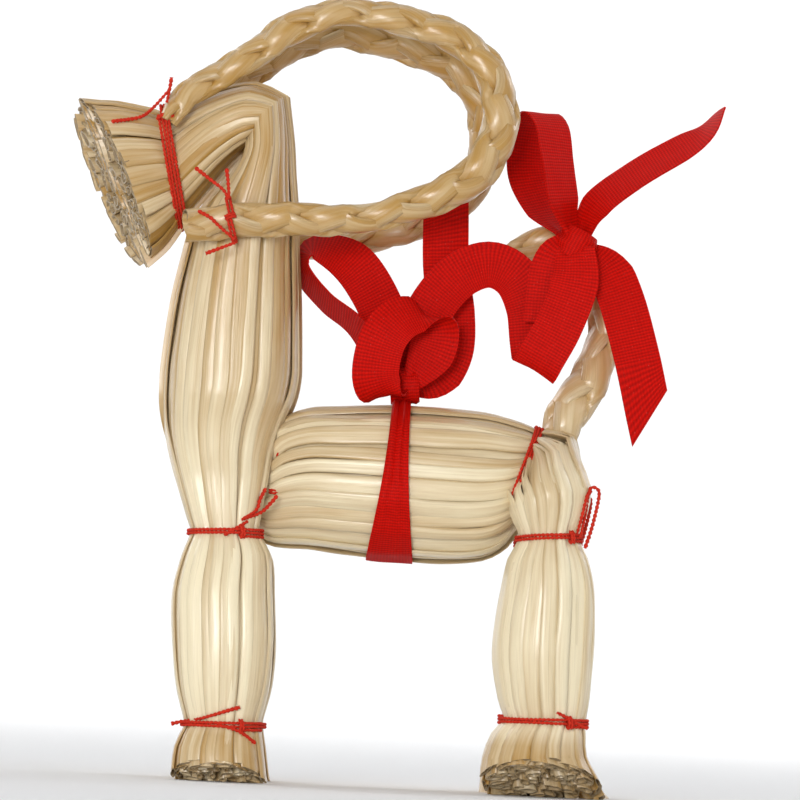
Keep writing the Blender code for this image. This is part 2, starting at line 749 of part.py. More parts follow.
def main():
    for piece in list(bpy.data.objects):
        bpy.data.objects.remove(piece)
    parts = make_collection("straw goat")
    cutters = make_collection("cutters")
    ground = make_ground(cutters)
    hide_as_cutter(ground)

    neck = add_bundle("neck_bundle", NECK, BUNDLE_DEPTH, parts, turns={0: MUZZLE_TURN})
    body = add_bundle("body_bundle", BODY, BUNDLE_DEPTH, parts)
    neck_tree, body_tree = tree_of(neck), tree_of(body)
    leg_trees = {}
    for bundle, leg, stations in ((neck, "front", FRONT_LEG), (body, "hind", HIND_LEG)):
        for side, word in ((NEAR, "near"), (FAR, "far")):
            piece = add_leg(leg, side, word, stations, cutters)
            leg_trees[(leg, side)] = tree_of(piece)
            combine(bundle, piece, "UNION")
        cut_at_ground(bundle, ground)

    near_horn = add_horn("horn_near", NEAR, parts)
    far_horn = add_horn("horn_far", FAR, parts)
    horn_trees = {NEAR: tree_of(near_horn), FAR: tree_of(far_horn)}
    tail = add_tail(parts)
    cut_tail_socket(body, cutters)
    ribbon = add_ribbon(body_tree, tree_of(tail), parts, cutters)

    ties = []
    head = [neck_tree, horn_trees[NEAR], horn_trees[FAR]]
    ties.append(
        add_tie("muzzle_tie", head, ((-32.5, 82.9), (-35.4, 100.0)), 0.0,
                [(-6.0, -2.0), (-1.5, 3.0)], 307, parts, cutters, points=WIDE_TIE_POINTS)
    )
    ties.append(
        add_tie("chest_tie", [body_tree], ((-14.7, 35.9), (-16.1, 52.3)), 0.0,
                [(1.5, -3.0), (-0.5, -4.0)], 250, parts, cutters)
    )
    ties.append(
        add_tie("rump_tie", [body_tree], ((15.0, 35.1), (22.4, 54.8)), 0.0,
                [(1.0, 3.0), (-2.5, 2.0)], 330, parts, cutters, points=WIDE_TIE_POINTS)
    )
    for side, word in ((NEAR, "near"), (FAR, "far")):
        ties.append(
            add_tie(f"horn_tie_{word}", [horn_trees[side]], ((-23.6, 78.8), (-25.3, 86.1)),
                    horn_middles(side)[-2].y, [(-4.0, 3.0), (-4.0, -2.5)],
                    270 if side == NEAR else 90, parts, cutters, points=HORN_TIE_POINTS)
        )
        for leg, joint, edges, share, tails in (
            ("front", "knee", ((-28.5, 36.4), (-18.0, 36.6)), 0.88, [(4.5, 4.0), (-2.8, -1.6)]),
            ("front", "ankle", ((-27.7, 8.3), (-16.6, 8.1)), 1.03, [(5.0, 2.0), (-4.6, -0.8)]),
            ("hind", "knee", ((20.5, 38.1), (29.1, 38.2)), 0.92, [(3.5, 4.5), (4.8, 0.8)]),
            ("hind", "ankle", ((19.6, 11.0), (31.2, 11.1)), 0.96, [(4.4, -0.6), (-4.0, 1.0)]),
        ):
            knot_side = 270 if side == NEAR else 90
            ties.append(
                add_tie(f"{leg}_{joint}_tie_{word}", [leg_trees[(leg, side)]], edges,
                        side * share * LEG_STANCE, tails, knot_side, parts, cutters)
            )

    for piece in (neck, body):
        finish_piece(piece, STRAW_COLOUR, 0.45)
    for piece in (near_horn, far_horn, tail):
        finish_piece(piece, HORN_COLOUR, 0.35)
    finish_piece(ribbon, RIBBON_COLOUR, 0.6)
    for tie in ties:
        finish_piece(tie, THREAD_COLOUR, 0.8)


main()
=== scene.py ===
"""The looks of a straw goat: bundles of cut straw, plaited horns and tail, red ribbon and thread.

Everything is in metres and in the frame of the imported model. The side view is written in
millimetres, as (x, z), and the near side is -Y. Straws, plaits, ribbon and thread are laid over
those plans, so that each can be given another width without the others being touched.
"""

import math
import random
from collections import namedtuple

import bpy
from mathutils import Matrix, Vector, noise
from mathutils.bvhtree import BVHTree


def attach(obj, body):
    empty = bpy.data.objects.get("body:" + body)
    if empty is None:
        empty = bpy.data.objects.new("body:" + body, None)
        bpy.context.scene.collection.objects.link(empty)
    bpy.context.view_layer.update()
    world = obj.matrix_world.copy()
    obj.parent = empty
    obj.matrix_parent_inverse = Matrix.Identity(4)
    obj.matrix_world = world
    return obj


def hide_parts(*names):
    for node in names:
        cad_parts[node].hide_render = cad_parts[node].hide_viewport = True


bl_info = {
    "name": "Straw Goat",
    "version": (1, 0, 0),
    "blender": (4, 5, 0),
    "location": "View3D > Sidebar > Straw Goat",
    "description": "Dresses the packed straw goat in straw, ribbon and thread",
    "category": "Object",
}

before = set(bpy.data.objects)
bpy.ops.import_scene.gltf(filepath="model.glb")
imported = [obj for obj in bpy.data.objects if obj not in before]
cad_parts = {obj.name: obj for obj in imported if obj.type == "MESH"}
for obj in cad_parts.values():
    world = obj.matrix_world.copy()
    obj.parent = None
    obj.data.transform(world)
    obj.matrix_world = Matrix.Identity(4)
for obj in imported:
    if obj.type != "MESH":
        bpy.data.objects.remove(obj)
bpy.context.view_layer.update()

MM = 0.001
ACROSS = Vector((0.0, 1.0, 0.0))
NEAR, FAR = -1, 1
SIDES = {NEAR: "near", FAR: "far"}

# A bundle's stations: its two edges in the side view, how far it reaches from its middle to the
# outside and to the inside, and how far out that middle is from the goat's middle plane.
HEAD = [
    ((-37.1, 76.9), (-48.5, 100.9), 9.9, 0.2, 0.2),
    ((-35.8, 78.1), (-46.1, 100.7), 9.3, 0.2, 0.2),
    ((-34.7, 79.3), (-43.4, 100.7), 8.6, 0.2, 0.2),
    ((-33.3, 81.5), (-38.6, 100.0), 7.3, 0.2, 0.2),
    ((-32.5, 83.2), (-35.6, 99.5), 6.3, 0.2, 0.2),
    ((-30.2, 86.3), (-31.8, 101.7), 7.4, 0.2, 0.2),
    ((-28.1, 89.4), (-27.2, 103.6), 8.6, 0.2, 0.2),
    ((-25.7, 92.4), (-22.1, 104.6), 9.3, 0.2, 0.2),
    ((-23.6, 94.7), (-17.8, 102.8), 9.6, 0.2, 0.2),
]
NECK_AND_LEG = [
    HEAD[-1],
    ((-24.1, 92.5), (-16.6, 96.1), 9.9, 0.2, 0.2),
    ((-25.9, 89.4), (-16.1, 91.4), 10.0, 0.2, 0.2),
    ((-28.6, 85.9), (-15.5, 86.7), 10.0, 0.2, 0.2),
    ((-30.6, 82.1), (-15.2, 83.3), 10.0, 0.2, 0.2),
    ((-31.6, 77.8), (-15.0, 79.4), 10.0, 0.2, 0.2),
    ((-32.8, 71.3), (-14.4, 72.2), 10.2, 0.2, 0.2),
    ((-33.7, 62.5), (-13.9, 63.5), 10.4, 0.2, 0.2),
    ((-33.8, 58.9), (-13.9, 60.2), 10.5, 0.2, 0.2),
    ((-33.7, 55.6), (-14.5, 56.9), 10.2, 0.6, 0.6),
    ((-33.2, 51.6), (-15.8, 52.9), 8.8, 2.2, 3.0),
    ((-32.1, 47.6), (-16.8, 48.5), 6.4, 4.0, 6.0),
    ((-30.8, 43.8), (-17.2, 44.4), 4.9, 4.7, 8.1),
    ((-28.9, 38.5), (-18.0, 38.8), 4.6, 4.4, 8.4),
    ((-28.3, 36.2), (-18.0, 36.6), 4.5, 4.4, 8.4),
    ((-29.5, 32.7), (-16.2, 33.4), 5.9, 5.6, 8.7),
    ((-30.5, 27.3), (-15.6, 28.0), 6.7, 6.6, 9.2),
    ((-30.1, 20.4), (-15.1, 21.1), 6.9, 6.8, 9.6),
    ((-29.2, 14.0), (-15.4, 14.6), 6.4, 6.4, 9.8),
    ((-27.7, 8.9), (-16.5, 9.2), 5.2, 5.2, 9.9),
    ((-27.7, 7.6), (-16.4, 7.8), 5.2, 5.2, 9.9),
    ((-28.9, 4.7), (-15.8, 4.9), 6.5, 6.3, 9.9),
    ((-29.2, -0.9), (-14.8, -0.8), 7.4, 7.2, 9.9),
]
BODY = [
    ((-23.4, 40.2), (-23.7, 46.2), 3.0, 3.0, 0.0),
    ((-19.7, 37.7), (-20.3, 49.1), 5.0, 5.0, 0.0),
    ((-16.9, 35.7), (-17.7, 51.6), 6.8, 6.8, 0.0),
    ((-14.5, 35.3), (-15.5, 54.7), 8.0, 8.0, 0.0),
    ((-10.9, 35.3), (-11.9, 56.3), 9.3, 9.3, 0.0),
    ((-6.1, 34.9), (-7.1, 56.8), 10.3, 10.3, 0.0),
    ((1.5, 34.4), (0.3, 57.3), 10.9, 10.9, 0.0),
    ((9.0, 34.2), (7.9, 57.3), 10.8, 10.8, 0.0),
    ((15.0, 34.8), (14.5, 57.0), 10.2, 10.2, 0.0),
    ((18.2, 36.9), (18.7, 56.1), 8.9, 8.9, 0.0),
    ((19.8, 40.0), (21.5, 55.2), 7.0, 7.0, 0.0),
    ((20.6, 42.4), (23.0, 54.4), 6.3, 6.3, 0.0),
    ((21.7, 44.0), (24.3, 53.1), 5.4, 5.4, 0.0),
]
RUMP = [
    ((21.4, 48.5), (23.8, 54.3), 7.2, 0.2, 0.4),
    ((20.1, 46.9), (25.9, 53.9), 8.8, 0.2, 1.2),
    ((19.0, 45.0), (28.0, 53.2), 9.0, 1.6, 2.8),
]
HIND_LEG = [
    RUMP[-1],
    ((18.6, 43.7), (28.9, 50.0), 8.6, 3.8, 5.8),
    ((18.7, 42.3), (30.5, 45.9), 7.4, 6.0, 8.2),
    ((19.5, 40.3), (30.2, 42.0), 6.2, 5.8, 8.7),
    ((20.5, 37.8), (29.1, 38.2), 5.4, 5.4, 8.8),
    ((18.9, 34.5), (30.6, 35.1), 6.6, 6.5, 8.8),
    ((18.1, 29.7), (31.7, 30.4), 7.3, 7.0, 9.0),
    ((17.3, 21.2), (32.0, 22.0), 7.4, 7.2, 9.1),
    ((18.4, 14.4), (31.7, 15.0), 6.4, 6.4, 9.2),
    ((19.5, 11.1), (31.2, 11.4), 5.4, 5.4, 9.2),
    ((17.8, 8.6), (31.3, 9.3), 6.4, 6.2, 9.3),
    ((16.6, 5.3), (31.6, 6.2), 7.4, 7.0, 9.4),
    ((16.3, 1.5), (33.4, 3.1), 8.3, 8.3, 9.5),
]
# The cut straws in each end of a bundle: their radius in millimetres, how many they are, and how
# dark: their walls in the cut colour, their hollows in painted shade.
STUBS = {"muzzle": (1.25, 92, 1.0), "front foot": (1.1, 42, 0.15), "hind foot": (1.2, 58, 0.6)}
MUZZLE_TURN = math.radians(16)  # the muzzle's cut faces a little to the near side
# Each foot's cut: its slant, rising to the outside, and how much lower its middle is than planned.
FOOT_CUTS = {
    ("front", NEAR): (math.radians(23), -1.2),
    ("front", FAR): (math.radians(2), 0.0),
    ("hind", NEAR): (math.radians(26), 0.2),
    ("hind", FAR): (math.radians(5), 3.4),
}

# A plait's stations: its middle in the side view, half its width, and its place across: for a
# horn from its spread (0) to its rest on the neck's side (1), for the tail a share of its set-back.
HORN = [
    ((-34.8, 97.2), 1.8, 0.12),
    ((-33.6, 99.6), 2.4, 0.0),
    ((-31.9, 101.7), 2.5, -0.1),
    ((-27.8, 104.6), 2.7, -0.1),
    ((-22.9, 107.8), 2.7, 0.0),
    ((-17.1, 112.2), 3.0, 0.0),
    ((-9.7, 115.0), 2.5, 0.05),
    ((-1.0, 114.2), 2.9, 0.1),
    ((6.9, 112.0), 3.0, 0.15),
    ((12.2, 107.8), 3.0, 0.2),
    ((14.5, 101.9), 3.3, 0.3),
    ((13.8, 95.4), 3.4, 0.45),
    ((9.7, 89.9), 3.3, 0.6),
    ((3.4, 86.5), 2.9, 0.75),
    ((-4.6, 83.7), 2.5, 0.9),
    ((-12.6, 83.0), 2.9, 1.0),
    ((-18.9, 82.7), 3.0, 1.0),
    ((-24.6, 82.2), 3.0, 1.0),
    ((-31.0, 81.2), 2.9, 0.88),
]
FAR_HORN_SHIFT = (-1.6, -0.9)
HORN_SPREAD, HORN_REST = 7.6, 12.6  # out from the middle plane, of a horn's middle line
HORN_ROLL, TAIL_ROLL = math.radians(-30), math.radians(25)
PLAIT_DEPTH = 0.74  # of a plait's width
TAIL = [
    ((25.3, 51.7), 2.9, 0.0),
    ((26.0, 55.0), 3.4, 0.05),
    ((27.9, 59.0), 3.8, 0.3),
    ((30.8, 64.6), 3.4, 0.7),
    ((32.1, 71.5), 3.0, 1.0),
    ((31.0, 77.8), 2.9, 1.0),
    ((27.6, 82.4), 2.7, 1.0),
    ((23.1, 83.5), 2.9, 0.9),
    ((18.5, 81.2), 2.5, 0.7),
    ((16.2, 79.3), 1.6, 0.6),
]
TAIL_SET_BACK = 3.0  # towards the far side

# The ribbon's runs: a point of its middle line in the side view, its place across in millimetres,
# then the direction of its width: an angle in the side view, and how far it is turned edge-on.
BACK_LOOP_REAR = [
    ((2.8, 60.2), 2.2, 16, 30),
    ((0.1, 65.4), 2.2, 14, 14),
    ((-1.7, 71.6), 1.4, 22, 10),
    ((-5.6, 77.6), 1.0, 36, 8),
    ((-9.5, 80.1), 1.4, 62, 35),
    ((-13.1, 80.4), 1.8, 110, 60),
    ((-14.0, 77.0), 1.6, 180, 70),
    ((-10.2, 72.4), 0.2, 220, 72),
    ((-5.0, 68.2), -1.2, 226, 66),
    ((1.3, 59.8), -2.6, 210, 40),
]
BACK_LOOP_NEAR = [
    ((1.9, 59.2), -1.8, 8, 6),
    ((-0.6, 58.3), -4.6, 6, 4),
    ((-2.1, 61.0), -6.6, 6, 4),
    ((-1.4, 66.0), -7.2, 8, 4),
    ((0.9, 69.5), -6.2, -8, 6),
    ((4.2, 70.7), -4.4, -24, 6),
    ((6.4, 69.0), -3.0, -34, 4),
    ((6.1, 65.4), -2.4, -34, 4),
    ((3.1, 60.2), -1.8, -14, 4),
]
BACK_STREAMER = [
    ((3.1, 60.2), 0.8, -50, 14),
    ((6.7, 61.6), 1.6, -42, 8),
    ((8.9, 65.9), 2.4, -16, 6),
    ((8.9, 71.6), 2.6, -2, 6),
    ((7.7, 78.4), 2.4, 0, 8),
    ((7.3, 85.9), 2.0, 2, 12),
]
ARCH = [
    ((2.4, 60.4), -0.4, -30, 10),
    ((3.4, 65.3), -0.6, -34, 4),
    ((5.6, 71.9), -0.8, -40, 4),
    ((9.4, 76.9), -0.8, -58, 8),
    ((14.0, 79.0), -1.0, -88, 14),
    ((18.0, 77.3), -1.6, -128, 12),
    ((20.3, 73.0), -2.2, -165, 6),
    ((21.1, 68.0), -2.6, -185, 4),
    ((21.6, 64.7), -3.0, -206, 2),
    ((21.5, 63.2), -4.4, -209, 2),
    ((22.6, 65.3), -5.8, -209, 2),
    ((24.9, 70.0), -6.2, -209, 3),
    ((26.9, 76.4), -5.8, -208, 6),
    ((26.8, 81.8), -4.6, -206, 14),
]
TAIL_FOLD = [
    ((26.4, 82.4), -4.0, -206, 10),
    ((24.1, 80.4), -4.5, -204, 8),
    ((23.4, 76.5), -4.6, -200, 6),
    ((23.1, 70.2), -4.4, -204, 4),
]
TAIL_LOOP_UP = [
    ((26.5, 83.6), -3.6, 0, 60),
    ((24.8, 88.4), -3.8, -4, 48),
    ((23.5, 95.1), -3.8, 0, 45),
    ((22.4, 100.2), -3.0, 4, 42),
    ((20.5, 102.2), -1.2, 5, 40),
    ((19.1, 99.4), 1.0, 4, 34),
    ((19.3, 93.1), 1.4, 8, 30),
    ((22.1, 87.3), 0.2, 16, 40),
    ((25.3, 83.2), -1.4, 10, 60),
]
TAIL_STREAMER_UP = [
    ((27.7, 83.3), -2.6, 120, 30),
    ((29.4, 88.2), -3.6, 125, 46),
    ((34.9, 93.0), -4.4, 120, 50),
    ((41.9, 97.5), -5.0, 122, 52),
    ((45.4, 100.1), -5.2, 132, 66),
    ((47.5, 103.5), -5.0, 140, 84),
]
TAIL_STREAMER_DOWN = [
    ((28.6, 81.6), -2.2, 50, 20),
    ((31.7, 79.3), -2.8, 38, 12),
    ((34.2, 74.0), -3.2, 20, 8),
    ((36.7, 66.1), -3.2, 16, 8),
    ((38.2, 60.4), -3.0, 18, 10),
]
GATHERED_SHARE = 0.36  # of the ribbon's width, inside a knot
WRAP_SHARE = 0.62  # of the ribbon's width, in the turn round a knot
TOP_SHARE = 0.40  # of the ribbon's width, on the back, under the knot
# Each run with the share of the width at either end, and how far one corner of a cut end runs on.
RIBBON_RUNS = [
    (BACK_LOOP_REAR, GATHERED_SHARE, GATHERED_SHARE, 0.0),
    (BACK_LOOP_NEAR, GATHERED_SHARE, GATHERED_SHARE, 0.0),
    (BACK_STREAMER, GATHERED_SHARE, 1.0, 1.5),
    (ARCH, GATHERED_SHARE, 0.80, 0.0),
    (TAIL_FOLD, 0.6, 1.0, 0.0),
    (TAIL_LOOP_UP, GATHERED_SHARE, GATHERED_SHARE, 0.0),
    (TAIL_STREAMER_UP, GATHERED_SHARE, 1.0, 0.0),
    (TAIL_STREAMER_DOWN, GATHERED_SHARE, 1.0, -3.6),
]
GATHERED_LENGTH = 0.0055  # from the knot to where the ribbon lies at its full width
BELLY_EDGES = ((1.3, 34.3), (2.0, 57.3))
BELLY_REACH = 10.9
BELLY_SLIDES = (-2.4, 0.0, 2.4)  # where the ribbon feels for the straw, along its axis
# The knots of the bows, on the back and at the tail: the middle, its place across, the way through
# the turn of ribbon that makes it, and half of that turn's width and depth.
KNOTS = [
    ((2.3, 60.0), -0.4, (1.0, 0.0, 0.1), (2.3, 2.0)),
    ((26.9, 82.4), -2.8, (0.5, 0.0, 1.0), (2.5, 2.2)),
]

# A tie: the two edges, in the side view, of what it goes round and how far that reaches across,
# the turns of thread, the angle of its knot on the near side, its loose ends and its seed, and how
# deep the thread is drawn in.
Tie = namedtuple("Tie", "edges reach turns knot ends seed sink", defaults=(0.0,))
MUZZLE_TIE = Tie(((-32.2, 83.2), (-35.6, 99.8)), 6.4, 4, 306, "muzzle", 1)
CHEST_TIE = Tie(((-16.5, 35.9), (-15.7, 53.5)), 7.4, 2, 255, "chest", 2, 1.3)
RUMP_TIE = Tie(((18.4, 40.8), (22.9, 54.5)), 8.2, 3, 20, None, 3, -0.1)
HORN_TIE = Tie(((-23.5, 78.7), (-25.3, 86.1)), 2.6, 2, 270, "horn", 4)
# The ties of a leg also say how far out the middle of the leg is.
LEG_TIES = {
    "front_knee": (8.4, Tie(((-28.5, 36.4), (-18.0, 36.6)), 5.0, 2.5, 300, "front knee", 10)),
    "front_ankle": (9.9, Tie(((-27.7, 8.3), (-16.4, 8.3)), 5.0, 2.5, 300, "front ankle", 13)),
    "hind_knee": (8.8, Tie(((20.5, 37.8), (29.1, 38.2)), 5.5, 2.5, 300, "hind knee", 16)),
    "hind_ankle": (9.2, Tie(((19.6, 11.1), (31.2, 11.1)), 5.5, 2.5, 300, "hind ankle", 19)),
}
# The loose ends of a tie, as points of the side view from the knot outwards.
LOOSE_ENDS = {
    "chest": [[(-18.3, 48.9), (-17.8, 47.7), (-17.4, 45.9)]],
    "muzzle": [
        [(-34.9, 101.8), (-37.0, 99.2), (-39.2, 98.0), (-43.1, 96.8)],
        [(-35.1, 100.0), (-34.8, 102.0), (-34.6, 103.8)],
    ],
    "front knee": [
        [(-20.5, 38.4), (-18.6, 39.9), (-18.1, 41.5), (-17.4, 43.2)],
        [(-20.5, 38.4), (-18.0, 39.6), (-16.6, 41.0), (-15.6, 42.3)],
        [(-19.7, 38.2), (-21.5, 36.9), (-22.9, 36.0)],
    ],
    "front ankle": [
        [(-24.9, 9.1), (-22.5, 9.9), (-19.3, 11.0)],
        [(-22.5, 8.4), (-19.3, 7.5), (-16.9, 5.9)],
        [(-24.9, 9.1), (-27.3, 8.6), (-29.3, 8.1)],
    ],
    "hind knee": [
        [
            (29.1, 38.2), (29.7, 41.4), (30.2, 45.3), (31.3, 45.5), (31.6, 44.2), (30.8, 39.9),
            (29.9, 36.7),
        ],
        [(28.6, 38.6), (29.2, 41.3), (29.8, 44.1), (30.4, 45.2)],
    ],
    "hind ankle": [[(26.8, 12.5), (28.1, 11.9), (30.3, 10.8), (31.5, 10.5)]],
    "horn": [
        [(-24.9, 85.1), (-25.7, 86.5), (-27.9, 88.1), (-30.0, 89.6)],
        [(-24.8, 85.4), (-25.1, 87.9), (-25.4, 89.7)],
        [(-23.7, 79.3), (-26.1, 81.2), (-27.5, 82.4), (-29.2, 83.3)],
        [(-23.6, 78.8), (-25.5, 78.0), (-27.8, 77.0)],
    ],
}


def length(name, description, default, least):
    """A setting that is a length in metres."""
    return bpy.props.FloatProperty(
        name=name, description=description, default=default, min=least, unit="LENGTH", precision=5
    )


def tint(name, description, default):
    """A setting that is a colour."""
    return bpy.props.FloatVectorProperty(
        name=name, description=description, default=default, subtype="COLOR", min=0.0, max=1.0
    )


class StrawSettings(bpy.types.PropertyGroup):
    """The straw that the bundles and plaits are made of."""

    width: length("Straw width", "Width of a flattened straw", 3.5 * MM, 1.0 * MM)
    height: length(
        "Straw height", "How far a flattened straw stands up in its middle", 0.46 * MM, 0.1 * MM
    )
    plait_pitch: length(
        "Plait pitch", "The length in which a strand goes across and back", 25.0 * MM, 5.0 * MM
    )
    pale: tint("Pale straw", "Colour of the palest straws", (0.95, 0.83, 0.57))
    gold: tint("Golden straw", "Colour of the ripest straws", (0.49, 0.275, 0.065))
    cut: tint("Cut ends", "Colour of the cut ends and their walls", (0.33, 0.235, 0.12))
    # painted shade: the colour of the bundles' cores and of the depths of the cut hollows
    shadow: tint(
        "Painted shade between the straws", "Colour of what shows between the straws", (0.17, 0.092, 0.032)
    )
    roughness: bpy.props.FloatProperty(
        name="Straw roughness",
        description="Roughness of the waxy skin of the straw",
        default=0.30,
        min=0.0,
        max=1.0,
        subtype="FACTOR",
    )


class RibbonSettings(bpy.types.PropertyGroup):
    """The woven ribbon and its two bows."""

    width: length("Ribbon width", "Width of the ribbon where it lies flat", 7.0 * MM, 2.0 * MM)
    thickness: length("Ribbon thickness", "Thickness of the ribbon", 0.24 * MM, 0.05 * MM)
    rib: length("Rib spacing", "From one cross rib of the weave to the next", 0.46 * MM, 0.1 * MM)
    colour: tint("Ribbon red", "Colour of the ribbon", (0.52, 0.0035, 0.0006))


class ThreadSettings(bpy.types.PropertyGroup):
    """The two-ply thread of the ties."""

    radius: length("Thread radius", "Half the thickness of the thread", 0.25 * MM, 0.05 * MM)
    twist: length(
        "Twist length", "The length in which the plies go once round each other", 1.3 * MM, 0.2 * MM
    )
    colour: tint("Thread red", "Colour of the thread", (0.62, 0.030, 0.012))


class StageSettings(bpy.types.PropertyGroup):
    """The floor, the light and the camera."""

    distance: length("Camera distance", "From the camera to the goat", 0.60, 0.2)
    frame_width: length("Frame width", "What the square picture spans at the goat", 0.120, 0.05)
    floor: tint("Floor", "Colour of the floor and the wall", (0.86, 0.86, 0.86))
    light: bpy.props.FloatProperty(
        name="Light", description="Strength of all the lamps", default=1.0, min=0.0
    )


# Curves and sections

SECTION_SPACING = 1.3 * MM
Section = namedtuple("Section", "centre wide outer inner middle")


def at(plan, out=0.0):
    """A point of the side view, in metres; out is millimetres towards +Y."""
    return Vector((plan[0] * MM, out * MM, plan[1] * MM))


def between(p0, p1, p2, p3, t):
    """A smooth curve from p1 to p2."""
    return 0.5 * (
        2 * p1
        + (p2 - p0) * t
        + (2 * p0 - 5 * p1 + 4 * p2 - p3) * t**2
        + (3 * p1 - p0 - 3 * p2 + p3) * t**3
    )


def smooth(values, steps):
    """More values on a smooth curve through the given ones; steps is a number or one per span."""
    padded = [values[0] * 2 - values[1], *values, values[-1] * 2 - values[-2]]
    counts = [steps] * (len(values) - 1) if isinstance(steps, int) else steps
    result = [
        between(*padded[i : i + 4], k / count)
        for i, count in enumerate(counts)
        for k in range(count)
    ]
    return [*result, values[-1]]


def spaced(line, spacing):
    """How many steps each span of a line takes for that spacing."""
    return [max(1, round((b - a).length / spacing)) for a, b in zip(line, line[1:])]


def distances(line, start=0.0):
    """How far each point of a line is along it."""
    result = [start]
    for a, b in zip(line, line[1:]):
        result.append(result[-1] + (b - a).length)
    return result


def around(count, number=None):
    """Angles that share a circle into count steps: count of them, or another number."""
    return [math.tau * i / count for i in range(number or count)]


def sections_of(runs):
    """The sections of a bundle along its runs, which meet in creases."""
    result = []
    for stations in runs:
        fronts = [at(front) for front, *_ in stations]
        backs = [at(back) for _, back, *_ in stations]
        steps = spaced([(a + b) / 2 for a, b in zip(fronts, backs)], SECTION_SPACING)
        fronts, backs = smooth(fronts, steps), smooth(backs, steps)
        outers, inners, middles = (
            smooth([station[i] * MM for station in stations], steps) for i in (2, 3, 4)
        )
        run = [
            Section((a + b) / 2, (b - a) / 2, outer, inner, middle)
            for a, b, outer, inner, middle in zip(fronts, backs, outers, inners, middles)
        ]
        result += run[1:] if result else run
    return result


def size_of(section):
    return section.wide.length + (section.outer + section.inner) / 2


def on_section(section, side, angle, sink=0.0):
    """A point of a bundle's outline, sunk below it, and the way out of the bundle there."""
    reach = section.outer if math.sin(angle) >= 0 else section.inner
    reach = max(reach, 0.1 * MM)
    across = ACROSS * side
    wide = section.wide.length
    out = section.wide / wide * math.cos(angle) / wide + across * math.sin(angle) / reach
    out.normalize()
    point = section.centre + section.wide * math.cos(angle)
    point += across * (section.middle + math.sin(angle) * reach)
    return point - out * sink, out


def girth_angles(section, side, count):
    """Angles that share the girth of a section evenly."""
    turns = around(360, 361)
    lengths = distances([on_section(section, side, turn)[0] for turn in turns])
    result = []
    i = 0
    for k in range(count):
        wanted = lengths[-1] * (k + 0.5) / count
        while lengths[i + 1] < wanted:
            i += 1
        result.append(turns[i])
    return result, lengths[-1]


def tangents(line):
    return [
        (line[min(i + 1, len(line) - 1)] - line[max(i - 1, 0)]).normalized()
        for i in range(len(line))
    ]


def rough(seed, *place):
    """Soft noise from -1 to 1, the same in every run."""
    spot = Vector((*place, 0.0, 0.0)[:3])
    return noise.noise(spot + Vector((seed * 7.31, seed * 3.17, seed * 1.73)))


# Skins

MARKS = ("tone", "across", "along", "cut", "warmth")
CREASE = math.radians(50)  # faces that meet more sharply are shaded with an edge between them


class Skin:
    """The points, faces and marks of one piece while it is laid."""

    def __init__(self, name):
        self.name = name
        self.points = []
        self.faces = []
        self.coats = []
        self.marks = {mark: [] for mark in MARKS}

    def add_points(self, points, **marks):
        """Adds points; each mark is one number for all of them or a list. Returns their numbers."""
        start = len(self.points)
        self.points += points
        for mark, kept in self.marks.items():
            value = marks.get(mark, 0.0)
            kept += value if isinstance(value, list) else [value] * len(points)
        return list(range(start, len(self.points)))

    def add_face(self, corners, coat=0):
        self.faces.append(corners)
        self.coats.append(coat)

    def join(self, rings, coat=0, ends=False):
        """Faces between rings of points, and over the two ends where these are closed."""
        count = len(rings[0])
        for first, second in zip(rings, rings[1:]):
            for i in range(count):
                j = (i + 1) % count
                self.add_face((first[i], first[j], second[j], second[i]), coat)
        if ends:
            self.add_face(tuple(rings[0]), coat)
            self.add_face(tuple(reversed(rings[-1])), coat)

    def tree(self):
        return BVHTree.FromPolygons(self.points, self.faces)

    def piece(self, *finishes):
        """The finished object, in its material or materials."""
        mesh = bpy.data.meshes.new(self.name)
        mesh.from_pydata(self.points, [], self.faces)
        for mark, values in self.marks.items():
            attribute = mesh.attributes.new(mark, "FLOAT", "POINT")
            attribute.data.foreach_set("value", values)
        for finish in finishes:
            mesh.materials.append(finish)
        mesh.polygons.foreach_set("material_index", self.coats)
        mesh.shade_smooth()
        mesh.set_sharp_from_angle(angle=CREASE)
        mesh.update()
        piece = bpy.data.objects.new(self.name, mesh)
        bpy.context.scene.collection.objects.link(piece)
        return piece


def dress(piece, slot, *nodes):
    """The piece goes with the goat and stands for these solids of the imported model."""
    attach(piece, "root")
    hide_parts(*nodes)


# Straw

PALE_HEIGHTS = (27.0, 88.0)  # the straw is drawn palest below the first, as painted light on the legs, and most golden above the second
FOOT_HEIGHT = 10.0  # under which it is darker again, as painted shade on the feet


def tint_and_painted_light(points):
    """How golden the straw is drawn at each point, from 0 on the legs to 1 on the head; its
    paleness on the legs is painted light, and its darkening on the feet is painted shade.
    """
    low, high = PALE_HEIGHTS
    result = []
    for point in points:
        height = point.z / MM
        upper = (height - low) / (high - low)
        lower = (FOOT_HEIGHT - height) / 3
        result.append(min(1.0, max(0.0, upper, min(1.0, lower))))
    return result


LIFT = 0.45 * MM  # how far the middle of a straw lies over the bundle under it
LAPPING = 0.84  # the share of its width that a straw has for itself
LAYERS = 2  # of straws over a bundle's core
HIDDEN_SHARE = 0.8  # as many straws lie in the hidden layer as in the outer one
BREADTHS = (0.72, 0.9, 1.0, 1.1, 1.25)  # of the usual width of a straw
# How deep a straw lies under the bundle's outline, and a layer under the next, in straw heights.
SINKS = (0.55, 0.85, 1.15, 1.5)
LAYER_DEPTH = 1.6
OUTSIDE = 40  # millimetres across, beyond every piece
STUB_CORNERS, CORE_CORNERS = 12, 28
Cut = namedtuple("Cut", "point out")
# The points of a straw's section, as shares of half its width.
STRAW_TOP = [-1.0, -0.95, -0.8, -0.4, 0.0, 0.4, 0.8, 0.95, 1.0]
STRAW_UNDER = [0.6, 0.0, -0.6]


